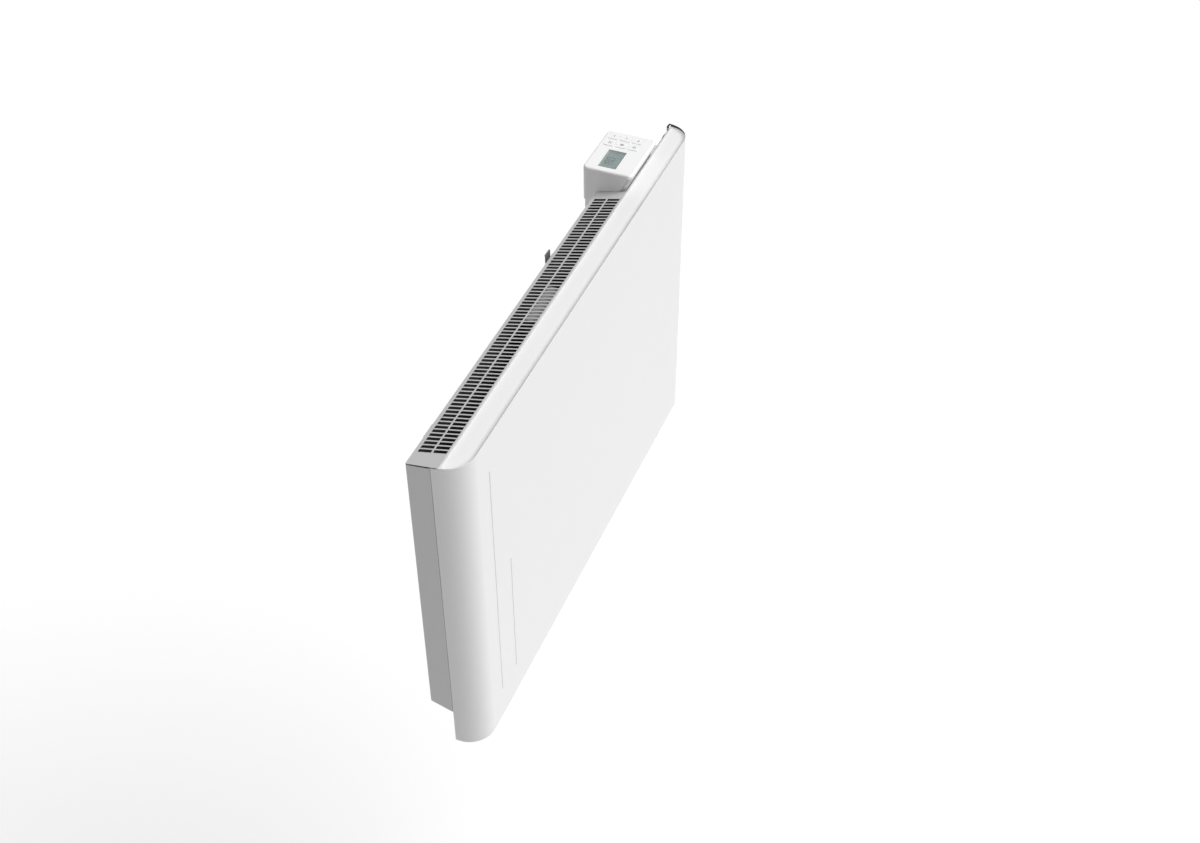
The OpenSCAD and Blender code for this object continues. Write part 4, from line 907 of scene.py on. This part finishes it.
def makeCover():
    low, high = span("control_cover")
    foot, top = low[2], high[2]
    cover = loft("controlCover", coverRings(0, foot))
    combine(cover, loft("hollow", coverRings(controlBox["wall"], foot - 1)))
    a, b = span("display_window")
    gap, ledge = controlBox["windowGap"], controlBox["ledge"]
    step = top - controlBox["windowStep"]
    combine(cover, bar("recess", insetBox(a, b, -gap, 0.6, 3), step, top + 1))
    combine(cover, bar("opening", insetBox(a, b, ledge - gap, 0.4, 3), top - 4, top))
    inset, edge = keyShape["flange"] - controlBox["keyGap"], controlBox["keyEdge"]
    for name in keyNames:
        a, b = span(name)
        rings = [level(insetBox(a, b, inset, 1.8, 4), z) for z in (top - 4, top - edge)]
        rings += [level(insetBox(a, b, inset - edge, 1.8 + edge, 4), z) for z in (top, top + 1)]
        combine(cover, loft("keyHole", rings))
    # posts for the display board and columns for the long screws
    pilot, stem, board = controlBox["pilot"], controlBox["post"], span("display_board")[1][2]
    for a, b in islands("board_screws"):
        if not isLong((a, b)) or b[2] <= foot + 5:
            continue
        middle = middleOf((a, b), z=0)
        post = [(pilot, board), (stem, board), (stem + 0.1, top - 1), (pilot, top - 1)]
        combine(cover, turned("post", post, middle), "UNION")
        combine(cover, turned("bore", [(pilot, board - 1), (pilot, b[2] + 0.3)], middle))
    tall, wide, bore = controlBox["columnTall"], controlBox["column"], controlBox["columnBore"]
    for pair in islands("cover_screws"):
        middle = middleOf(pair, z=0)
        column = [(wide, foot), (wide, foot + tall - 0.4), (wide - 0.4, foot + tall)]
        rib = block("rib", (middle[0] - 1, span("control_housing")[0][1] - 0.6, foot),
                    (middle[0] + 1, middle[1] - 1.75, foot + tall))
        combine(cover, [turned("column", column, middle), rib], "UNION")
        combine(cover, turned("bore", [(bore, foot - 1), (bore, foot + tall - 2)], middle))
    return cover


controlCover = makeCover()
shade(controlCover, 38)
dress(controlCover, whitePlastic, nodes=["control_cover"])
# painted shade: the forward faces under the front lip are painted greyer for the shadow in the
# recess there
controlCover.data.materials.append(paintedShadeRecess)
lipFoot = span("control_cover")[1][2] - controlBox["lip"]
for face in controlCover.data.polygons:
    if face.normal.y < -0.2 and face.center.z / mm < lipFoot:
        face.material_index = 1
copySheet("control_housing", "controlHousing", whitePlastic, 0.35, 3)
print("control box made")

# Display: window with a printed border, and the module under it

display = {"digitHeight": 9.6, "digitWidth": 4.5, "stroke": 1.15, "slant": 0.08, "gap": 1.7,
           "first": (5.6, 9.1), "border": 1.55}
segments = {"0": "abcdef", "1": "bc", "9": "abcdfg"}


def segmentOutline(which, x, y):
    # one stroke of a digit, pointed at both ends; x, y is the digit's lower left corner
    w, h, s = display["digitWidth"], display["digitHeight"], display["stroke"]
    half, cut = s / 2, 0.12
    flat = {"a": h, "g": h / 2, "d": 0}
    tall = {"b": (w, h / 2, h), "c": (w, 0, h / 2), "e": (0, 0, h / 2), "f": (0, h / 2, h)}
    if which in flat:
        height, a, b = flat[which], cut, w - cut
        shape = [(a, height), (a + half, height - half), (b - half, height - half), (b, height),
                 (b - half, height + half), (a + half, height + half)]
    else:
        side, a, b = tall[which]
        a, b = a + cut, b - cut
        shape = [(side, a), (side + half, a + half), (side + half, b - half), (side, b),
                 (side - half, b - half), (side - half, a + half)]
    return [(x + p + q * display["slant"], y + q) for p, q in shape]


def makeDisplay():
    low, high = span("display_window")
    glass = bar("displayWindow", insetBox(low, high, 0, 0.5, 4), low[2], high[2])
    dress(shade(soften(glass, 0.15, 2)), windowClear, nodes=["display_window"])
    # the border printed on the window's underside
    frameSheet = bar("windowBorder", insetBox(low, high, 0.1, 0.5, 4), low[2] - 0.03, low[2] + 0.03)
    sight = insetBox(low, high, display["border"], 0.4, 4)
    combine(frameSheet, bar("sight", sight, low[2] - 1, low[2] + 1))
    dress(shade(frameSheet), screenGlass)
    mLow, mHigh = span("lcd_module")
    module = bar("lcdModule", insetBox(mLow, mHigh, 0, 0.4, 3), mLow[2], mHigh[2])
    dress(shade(soften(module, 0.25, 2)), screenGlass, nodes=["lcd_module"])
    # digits read along the heater's length
    foot, top = mHigh[2] - 0.02, mHigh[2] + 0.06
    strokes, x, y = [], low[0] + display["first"][0], low[1] + display["first"][1]
    for digit in "190":
        for part in segments[digit]:
            strokes.append(bar("stroke", segmentOutline(part, x, y), foot, top))
        x += display["digitWidth"] + display["gap"]
        if digit == "9":
            dot = roundedBox(x - 1.1, x - 0.2, y - 0.5, y + 0.4, 0.3, 3)
            strokes.append(bar("dot", dot, foot, top))
            x += 0.7
    dress(shade(gather("displayDigits", strokes)), screenInk)


makeDisplay()

# Keys and their printed marks


def stroke(points, width, z):
    # a flat line of even width through plan points
    parts = []
    for a, b in zip(points, points[1:]):
        along = Vector((b[0] - a[0], b[1] - a[1])).normalized() * width / 2
        side = Vector((-along[1], along[0]))
        a2, b2 = Vector(a) - along, Vector(b) + along
        corners = [tuple(p) for p in (a2 - side, b2 - side, b2 + side, a2 + side)]
        parts.append(bar("stroke", corners, z - 0.03, z + keyShape["markLift"]))
    return parts


def keyMark(name, x, y, z):
    # seen by a reader standing at the heater's front
    w = keyShape["markWidth"]
    if name == "power":
        ring = arc((x, y - 0.1), 1.75, 125, 415, 20)
        return stroke(ring, w, z) + stroke([(x, y + 0.2), (x, y + 2.1)], w, z)
    if name == "mode":
        parts = stroke(arc((x, y), 1.15, 0, 360, 16), w, z)
        for i in range(8):
            a = pi * i / 4
            ray = [(x + reach * cos(a), y + reach * sin(a)) for reach in (1.8, 2.3)]
            parts += stroke(ray, w, z)
        return parts
    if name == "menu":
        return [s for d in (-1.3, 0, 1.3)
                for s in stroke([(x - 1.7, y + d), (x + 1.7, y + d)], w, z)]
    if name == "back":
        head = [(x - 0.6, y + 1.3), (x - 1.9, y), (x - 0.6, y - 1.3)]
        return stroke([(x + 1.9, y), (x - 1.8, y)], w, z) + stroke(head, w, z)
    tip = -1 if name == "down" else 1
    return stroke([(x - 1.8, y - tip * 0.8), (x, y + tip), (x + 1.8, y - tip * 0.8)], w, z)


def makeKey(node):
    low, high = span(node)
    name = node.split("_")[1]
    inset, corner, edge, top = keyShape["flange"], keyShape["corner"], keyShape["edge"], high[2]
    flangeTop = span("control_cover")[1][2] - keyShape["flangeDrop"]
    rings = [level(insetBox(low, high, inset, corner, 5), flangeTop - 0.6)]
    for i in range(5):
        a = radians(22.5 * i)
        k = edge * (1 - cos(a))
        outline = insetBox(low, high, inset + k, corner - k, 5)
        rings.append(level(outline, top - edge + edge * sin(a)))
    cap = loft("key" + name.capitalize(), rings)
    flange = block("flange", (low[0], low[1], flangeTop - 1), (high[0], high[1], flangeTop))
    x, y = middleOf((low, high))[:2]
    profile = [(1.3, low[2]), (1.5, low[2] + 0.2), (1.5, flangeTop - 0.5)]
    combine(cap, [flange, turned("stem", profile, (x, y, 0))], "UNION")
    dress(shade(cap), keyPlastic, node, [node])
    mark = gather("mark" + name.capitalize(), keyMark(name, x, y, top))
    dress(shade(mark), printInk, node)


for node in keyNames:
    makeKey(node)
print("display and keys made")

# Wall bracket, bolts and keepers

for node, name, finish, slotName, width in [
        ("wall_bracket", "wallBracket", zincSteel, "zinc_steel", 0.3),
        ("keepers", "keepers", zincSteel, "zinc_steel", 0.25),
        ("bolt_left", "boltLeft", boltSteel, "bolt_steel", 0.35),
        ("bolt_right", "boltRight", boltSteel, "bolt_steel", 0.35)]:
    copySheet(node, name + "Sheet", finish, width)

print("bracket made")

# Sheet and moulded pieces inside that keep their form, with soft edges

for node, name, finish, slotName, width in [
        # painted shade: the bulkheads and heat shield take the darkened duct steel
        ("left_bulkhead", "leftBulkhead", paintedShadeDuctSteel, "zinc_steel", 0.2),
        ("right_bulkhead", "rightBulkhead", paintedShadeDuctSteel, "zinc_steel", 0.2),
        ("heat_shield", "heatShield", paintedShadeDuctSteel, "aluminium", 0.2),
        ("band_stiffener", "bandStiffener", stiffenerPaint, "casing_paint", 0.25),
        ("heating_element", "heatingElement", aluminium, "aluminium", 0.12),
        ("element_bushes", "elementBushes", ceramic, "ceramic", 0.4),
        ("element_terminals", "elementTerminals", brass, "brass", 0.15),
        ("thermal_cutout", "thermalCutout", blackPlastic, "black_plastic", 0.3),
        ("cord_clamp", "cordClamp", blackPlastic, "black_plastic", 0.6),
        ("sensor_clip", "sensorClip", whitePlastic, "white_plastic", 0.4),
        ("display_board", "displayBoard", circuitBoard, "circuit_board", 0.1),
        ("power_board", "powerBoard", circuitBoard, "circuit_board", 0.1)]:
    copySheet(node, name, finish, width, clamp=True)

print("inner sheets made")

# Screws and nuts

screw = {"head": 3, "headTall": 1.8, "shank": 1.5, "boardHead": 2, "boardTall": 1, "boardShank": 1,
         "turn": 0.9, "thread": 0.22, "threaded": 14, "recess": 0.62, "recessDepth": 0.6}


def screwShape(name, head, tall, shank, length):
    # the head stands on zero and the threaded shank hangs below it
    root = shank - screw["thread"]
    profile, z = [(root * 0.4, -length)], -length + 0.8
    while z < min(-0.6, screw["threaded"] - length):
        profile += [(root, z), (shank, z + screw["turn"] / 2)]
        z += screw["turn"]
    profile += [(root, min(z, -0.3)), (root, 0), (head - 0.12, 0), (head, 0.12), (head, tall * 0.4),
                (head * 0.9, tall * 0.75), (head * 0.68, tall * 0.94), (head * 0.4, tall)]
    made = turned(name, profile, steps=20)
    arm, half = head * screw["recess"], head * 0.12
    foot = tall * (1 - screw["recessDepth"])
    return combine(made, [block("recess", (-arm, -half, foot), (arm, half, tall + 1)),
                          block("recess", (-half, -arm, foot), (half, arm, tall + 1))])


def placeScrews(name, boxes, way, finish, nodes=(), small=False):
    # way is the axis and side that the heads face
    head, tall, shank = [screw[k] for k in (("boardHead", "boardTall", "boardShank") if small
                                            else ("head", "headTall", "shank"))]
    axis, turn = {"back": (1, -90), "front": (1, 90), "down": (2, 180)}[way]
    low, high = boxes[0]
    shape = screwShape("screwShape", head, tall, shank, high[axis] - low[axis] - tall)
    places = []
    for a, b in boxes:
        spot = (a + b) / 2
        spot[axis] = b[axis] - tall if way == "back" else a[axis] + tall
        places.append(spot)
    scatter(name, shape, places, finish, nodes, (turn, 0, 0))


for node, name, way, finish, slotName in [
        ("casing_screws", "casingScrews", "back", zincSteel, "zinc_steel"),
        ("housing_screws", "housingScrews", "back", zincSteel, "zinc_steel"),
        ("cover_screws", "coverScrews", "down", zincSteel, "zinc_steel"),
        ("earth_screw", "earthScrew", "front", brass, "brass")]:
    placeScrews(name, islands(node), way, finish, [node])
onDisplay = [pair for pair in islands("board_screws") if isLong(pair)]
onPower = [pair for pair in islands("board_screws") if not isLong(pair)]
placeScrews("displayBoardScrews", onDisplay, "down", zincSteel, ["board_screws"],
            small=True)
placeScrews("powerBoardScrews", onPower, "front", zincSteel, small=True)


def makeNuts():
    boxes = islands("panel_nuts")
    tall, corner = boxes[0][1][1] - boxes[0][0][1], (boxes[0][1][0] - boxes[0][0][0]) / 2
    profile = [(corner - 0.5, 0), (corner, 0.3), (corner, tall - 0.3), (corner - 0.5, tall)]
    nut = turned("nutShape", profile, axis="y", steps=6)
    combine(nut, turned("bore", [(2.05, -1), (2.05, tall + 1)], axis="y"))
    places = [middleOf(pair, y=pair[0][1]) for pair in boxes]
    scatter("panelNuts", nut, places, zincSteel, ["panel_nuts"])


makeNuts()


def makeSpacers():
    # rubber feet against the wall, each held by a screw from inside
    boxes, back = islands("wall_spacers"), span("rear_casing")[1][1]
    radius, tall = (boxes[0][1][0] - boxes[0][0][0]) / 2, -back
    waist, rim = radius - 0.9, radius - 0.2
    profile = [(radius - 0.6, 0), (radius, 0.6), (radius, tall * 0.25), (waist, tall * 0.4),
               (waist, tall * 0.7), (rim, tall * 0.82), (rim, tall - 0.7), (waist, tall),
               (radius * 0.55, tall), (radius * 0.5, tall - 2.4)]
    foot = turned("footShape", profile, axis="y")
    places = [middleOf(pair, y=back) for pair in boxes]
    scatter("wallSpacers", foot, places, rubber, ["wall_spacers"])
    held = [[Vector((a[0] + radius, y, a[2] + radius)) for y in (a[1], back + 2)]
            for a in [pair[0] for pair in boxes]]
    placeScrews("spacerScrews", held, "front", zincSteel)


makeSpacers()
print("screws, nuts and feet made")

# Leads: each path is millimetres across from the housing's near side, depth and height

lead = {"radius": 1.3, "bend": 4, "sides": 14, "wires": 12}
leadPaths = {
    "live_lead": ("liveLead", leadBrown, "lead_brown", [
        (16.17, -23.7, 118), (16.17, -23.7, 74), (16.17, -42.35, 74), (4.4, -42.35, 74)]),
    "link_lead": ("linkLead", leadRed, "lead_red", [
        (4.4, -54.35, 74), (13.4, -54.35, 74), (13.4, -54.35, -106), (13.4, -48.35, -106),
        (5.4, -48.35, -106)]),
    "neutral_lead": ("neutralLead", leadBlue, "lead_blue", [
        (38.83, -23.7, 118), (38.83, -23.7, -113.9), (38.83, -48.35, -113.9), (9.4, -48.35, -113.9),
        (9.4, -48.35, -110), (5.4, -48.35, -110)]),
    "earth_lead": ("earthLead", leadEarth, "lead_green_yellow", [
        (27.5, -23.7, 118), (27.5, -23.7, -79)]),
    "sensor_lead": ("sensorLead", leadGrey, "lead_grey", [
        (64.6, -11.4, 120), (64.6, -23.7, 120), (64.6, -23.7, -128), (64.6, -30.5, -128),
        (64.6, -30.5, -140)]),
}


def tube(name, paths, radius, bend, finish, slotName, nodes):
    points = [p for path in paths for p in path]
    edges, start = [], 0
    for path in paths:
        edges += [(start + i, start + i + 1) for i in range(len(path) - 1)]
        start += len(path)
    piece = meshPiece(name, points, [], edges)
    grow(piece, bendTube, {"Radius": radius * mm, "Bend": bend * mm, "Sides": lead["sides"],
                           "Finish": finish})
    dress(shade(tidy(piece, 0.001), 60), None, nodes=nodes)


def makeLeads():
    side = span("control_housing")[0][0]
    for node, (name, finish, slotName, path) in leadPaths.items():
        path = [(side + x, y, z) for x, y, z in path]
        tube(name, [path], lead["radius"], lead["bend"], finish, slotName, [node])
    # the earth lead's ring under its screw, and the crimp above it
    low, high = islands("earth_screw")[0]
    x, z, inner = (low[0] + high[0]) / 2, (low[2] + high[2]) / 2, low[1] + screw["headTall"]
    profile = [(3.85, inner), (4, inner + 0.15), (4, inner + 0.65), (3.85, inner + 0.8)]
    ring = turned("earthLug", profile, (x, 0, z), "y")
    combine(ring, turned("bore", [(1.65, inner - 1), (1.65, inner + 2)], (x, 0, z), "y"))
    crimp = block("crimp", (x - 1.6, -25.1, z + 3), (x + 1.6, inner + 0.8, z + 6.4))
    dress(shade(combine(ring, soften(crimp, 0.5), "UNION")), brass)
    # flat cable between the boards, one round wire beside the next
    low, high = span("ribbon_cable")
    radius, count = (high[1] - low[1]) / 2, lead["wires"]
    step = (high[0] - low[0] - 2 * radius) / (count - 1)
    wires = [[(low[0] + radius + i * step, low[1] + radius, z) for z in (low[2], high[2])]
             for i in range(count)]
    tube("ribbonCable", wires, radius, 0, leadGrey, "lead_grey", ["ribbon_cable"])


makeLeads()
print("leads made")

# Rods, sensor, gland and what stands on the boards


def boxMiddle(node):
    low, high = span(node)
    return (Vector(low) + Vector(high)) / 2


def rodAlong(name, node, axis, profile, finish):
    # a lathe shape down the middle of the node's box
    centre, along = list(boxMiddle(node)), "xyz".index(axis)
    centre[along] = span(node)[0][along]
    dress(shade(turned(name, profile, centre, axis)), finish, nodes=[node])


def makeRods():
    low, high = span("element_core")
    length = high[0] - low[0]
    ends = [(3.2, 0), (4, 0.8), (4, 7), (3.6, 7.5), (3.6, 8.5), (4, 9)]
    whole = ends + [(radius, length - along) for radius, along in ends[::-1]]
    rodAlong("elementCore", "element_core", "x", whole, sheathSteel)
    tip = [(0.6, 0), (1.6, 0.3), (2.3, 1.1), (2.5, 2.2), (2.5, 12.6), (2.1, 14)]
    rodAlong("airSensor", "air_sensor", "z", tip, blackPlastic)


gland = {
    "flange": [(6.4, 0), (6.8, 0.4), (6.8, 2.9), (6.6, 3)],
    "bore": [(4.3, -1), (4, 0.6), (4, 8.5), (4.2, 10)],
    "neck": 5.6, "root": 5.35, "pitch": 0.6, "threads": 6,
    "grip": [(0.55, -1), (0.55, 2.4)], "gripOut": 7, "steps": 48,
}


def makeGland():
    # round flange with six small holes under the housing, round threaded neck through its floor
    low, high = span("cable_gland")
    x, y = boxMiddle("cable_gland")[:2]
    neck, foot, steps = [(gland["neck"], 0)], (x, y, low[2]), gland["steps"]
    for i in range(gland["threads"]):
        neck += [(gland["neck"], 5 + i * gland["pitch"]), (gland["root"], 5.3 + i * gland["pitch"])]
    neck += [(5.5, high[2] - low[2] - 0.3), (5.3, high[2] - low[2])]
    made = turned("cableGland", gland["flange"], foot, steps=steps)
    for turn in range(0, 360, 60):
        a, out = radians(turn), gland["gripOut"]
        spot = (x + out * cos(a), y + out * sin(a), low[2])
        combine(made, turned("grip", gland["grip"], spot, steps=12))
    combine(made, turned("neck", neck, foot, steps=steps), "UNION")
    combine(made, turned("bore", gland["bore"], foot, steps=steps))
    dress(shade(made), blackPlastic, nodes=["cable_gland"])


def makeCapacitor():
    # a can with a rolled groove, and a vent cross on its end
    low, high = span("capacitor")
    middle = boxMiddle("capacitor")
    profile = [(5.1, 0), (5.8, 0.3), (6, 1), (6, 14.2), (5.5, 14.8), (5.5, 15.4), (6, 16),
               (6, 17.6), (5.6, 18)]
    can = turned("capacitor", profile, (middle[0], low[1], middle[2]), "y")
    arm, half, vent = 4, 0.2, 0.35 - (high[1] - low[1]) / 2
    for across, up in ((arm, half), (half, arm)):
        start, end = middle - Vector((across, 20, up)), middle + Vector((across, vent, up))
        combine(can, block("vent", start, end))
    dress(shade(can), blackPlastic, nodes=["capacitor"])


def makeRelay():
    # a sealed case on a wider foot
    low, high = span("relay")
    inset = Vector((0.3, 0, 0.3))
    case = soften(block("relay", low + inset, high - inset - Vector((0, 1, 0))), 0.9, 3)
    foot = soften(block("foot", (low[0], high[1] - 1.6, low[2]), high), 0.25)
    dress(shade(combine(case, foot, "UNION")), relayPlastic, nodes=["relay"])


transformer = {"coreInset": 4, "bobbin": 3, "bobbinInset": (1, 0.5), "gaps": 5, "gapStep": 3,
               "gapHalf": 0.12, "gapDeep": 0.3, "windingInset": (3.4, 2.4, 2.6), "windingCorner": 3}


def makeTransformer():
    # laminated core round a taped winding, on a black bobbin
    low, high = span("transformer")
    inset, foot = transformer["coreInset"], high[1] - transformer["bobbin"]
    core = block("transformerCore", (low[0], low[1], low[2] + inset),
                 (high[0], foot, high[2] - inset))
    half, deep = transformer["gapHalf"], transformer["gapDeep"]
    for i in range(transformer["gaps"]):
        y = low[1] + transformer["gapStep"] * (i + 1)
        for near, far in ((low[0] - 1, low[0] + deep), (high[0] - deep, high[0] + 1)):
            combine(core, block("gap", (near, y - half, low[2]), (far, y + half, high[2])))
    dress(shade(soften(core, 0.15, 1, 40, True)), sheathSteel)
    side, front, back = transformer["windingInset"]
    outline = roundedBox(low[0] + side, high[0] - side, low[1] + front, high[1] - back,
                         transformer["windingCorner"])
    winding = soften(bar("transformerWinding", outline, low[2], high[2]), 0.5, 3)
    dress(shade(winding), tapeYellow, nodes=["transformer"])
    side, end = transformer["bobbinInset"]
    bobbin = block("transformerBobbin", (low[0] + side, foot, low[2] + end),
                   (high[0] - side, high[1], high[2] - end))
    dress(shade(soften(bobbin, 0.4)), blackPlastic)


terminals = {"ways": 3, "well": [(2.6, -1), (2.5, 6)], "lift": 0.6, "screwFrom": 3.4, "screwTo": 9,
             "grooveHalf": 0.4, "grooveDeep": 2.2}


def makeTerminals():
    # three ways, each with a screw down a well
    low, high = span("terminal_block")
    body = soften(block("terminalBlock", low, high), 0.5)
    way, wells, half = (high[0] - low[0]) / terminals["ways"], [], terminals["grooveHalf"]
    near, far = low[1] + terminals["screwFrom"], low[1] + terminals["screwTo"]
    for i in range(terminals["ways"]):
        x, z = low[0] + way * (i + 0.5), (low[2] + high[2]) / 2 + terminals["lift"]
        combine(body, turned("well", terminals["well"], (x, low[1], z), "y", 24))
        wells.append((Vector((x - 2, near, z - 2)), Vector((x + 2, far, z + 2))))
        if i:
            groove = x - way / 2
            combine(body, block("groove", (groove - half, low[1] - 1, low[2] - 1),
                                (groove + half, low[1] + terminals["grooveDeep"], high[2] + 1)))
    dress(shade(body), terminalPlastic, nodes=["terminal_block"])
    placeScrews("terminalScrews", wells, "front", zincSteel, small=True)


def makeSwitches():
    # each key presses one: black base, steel plate and round plunger
    boxes = islands("tactile_switches")
    low, high = boxes[0]
    half, tall = (high[0] - low[0]) / 2, high[2] - low[2]
    places = [middleOf(pair, z=pair[0][2]) for pair in boxes]
    base = soften(block("baseShape", (-half, -half, 0), (half, half, tall - 0.75)), 0.2, 1)
    side = half - 0.25
    plate = block("plateShape", (-side, -side, tall - 0.8), (side, side, tall - 0.5))
    button = turned("buttonShape", [(1.7, tall - 0.7), (1.7, tall - 0.15), (1.55, tall)], steps=20)
    scatter("switchBases", base, places, blackPlastic, ["tactile_switches"])
    scatter("switchPlates", soften(plate, 0.08, 1), places, zincSteel)
    scatter("switchButtons", button, places, blackPlastic)


makeRods()
makeGland()
makeCapacitor()
makeRelay()
makeTransformer()
makeTerminals()
makeSwitches()
print("inner pieces made")

# Camera at the photograph's angle

view = {
    "place": (-1.195, -0.6177, 1.2739), "lens": 49.92,
    "right": (0.37106, -0.92861, -0.0002), "up": (0.62448, 0.24937, 0.74016),
    "back": (-0.68727, -0.27477, 0.67243),
}
cameraData = bpy.data.cameras.new("camera")
cameraData.lens, cameraData.sensor_width, cameraData.sensor_fit = view["lens"], 36, "HORIZONTAL"
camera = bpy.data.objects.new("camera", cameraData)
camera.matrix_world = Matrix.Translation(view["place"]) @ Matrix(
    [[view[k][row] for k in ("right", "up", "back")] for row in range(3)]).to_4x4()
scene.collection.objects.link(camera)
scene.camera = camera

# Lights, world and floor

studio = {
    "ambient": 0.2, "keyPower": 2.95, "keyFrom": (0.24, -0.53, 0.78), "keySoft": 45,
    "floorDrop": 0.9, "floorSide": 9000, "floorColour": 0.9, "floorBounce": 0.8, "floorLift": 0.16,
}


def sunLamp(name, power, source, soft):
    lamp = bpy.data.lights.new(name, "SUN")
    lamp.energy, lamp.angle = power, radians(soft)
    thing = bpy.data.objects.new(name, lamp)
    thing.rotation_euler = Vector(source).to_track_quat("Z", "Y").to_euler()
    scene.collection.objects.link(thing)


sunLamp("keyLight", studio["keyPower"], studio["keyFrom"], studio["keySoft"])

scene.world = bpy.data.worlds.new("studio")
t = blankTree(scene.world)
rays = t.add("ShaderNodeLightPath").outputs
mirrored = t.first("ShaderNodeMath", {0: rays["Is Glossy Ray"], 1: rays["Is Transmission Ray"]},
                   operation="MAXIMUM")
seen = t.first("ShaderNodeMath", {0: rays["Is Camera Ray"], 1: mirrored}, operation="MAXIMUM")
soft = t.first("ShaderNodeBackground", {"Color": (1, 1, 1, 1), "Strength": studio["ambient"]})
white = t.first("ShaderNodeBackground", {"Color": (1, 1, 1, 1)})
t.add("ShaderNodeOutputWorld", {
    "Surface": t.first("ShaderNodeMixShader", {"Fac": seen, 1: soft, 2: white})})

side, floorLevel = studio["floorSide"], (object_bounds()[0][2] - studio["floorDrop"]) / mm
floor = meshPiece("floor", [(-side, -side, floorLevel), (side, -side, floorLevel),
                            (side, side, floorLevel), (-side, side, floorLevel)], [(0, 1, 2, 3)])
floorFinish = bpy.data.materials.new("floorFinish")
t = blankTree(floorFinish)
rays = t.add("ShaderNodeLightPath").outputs
seen = t.first("ShaderNodeMath", {0: rays["Is Camera Ray"], 1: rays["Is Glossy Ray"]},
               operation="MAXIMUM")
tint = t.add("ShaderNodeMix", {"Factor": seen, "A": (studio["floorBounce"],) * 3 + (1,),
                               "B": (studio["floorColour"],) * 3 + (1,)}, data_type="RGBA")
matte = t.first("ShaderNodeBsdfDiffuse", {"Color": tint.outputs["Result"]})
lift = t.first("ShaderNodeMath", {0: seen, 1: studio["floorLift"]}, operation="MULTIPLY")
glow = t.first("ShaderNodeEmission", {"Strength": lift})
t.add("ShaderNodeOutputMaterial", {"Surface": t.first("ShaderNodeAddShader", {0: matte, 1: glow})})
floor.data.materials.append(floorFinish)
scene.view_settings.view_transform = "Standard"
print("stage set")
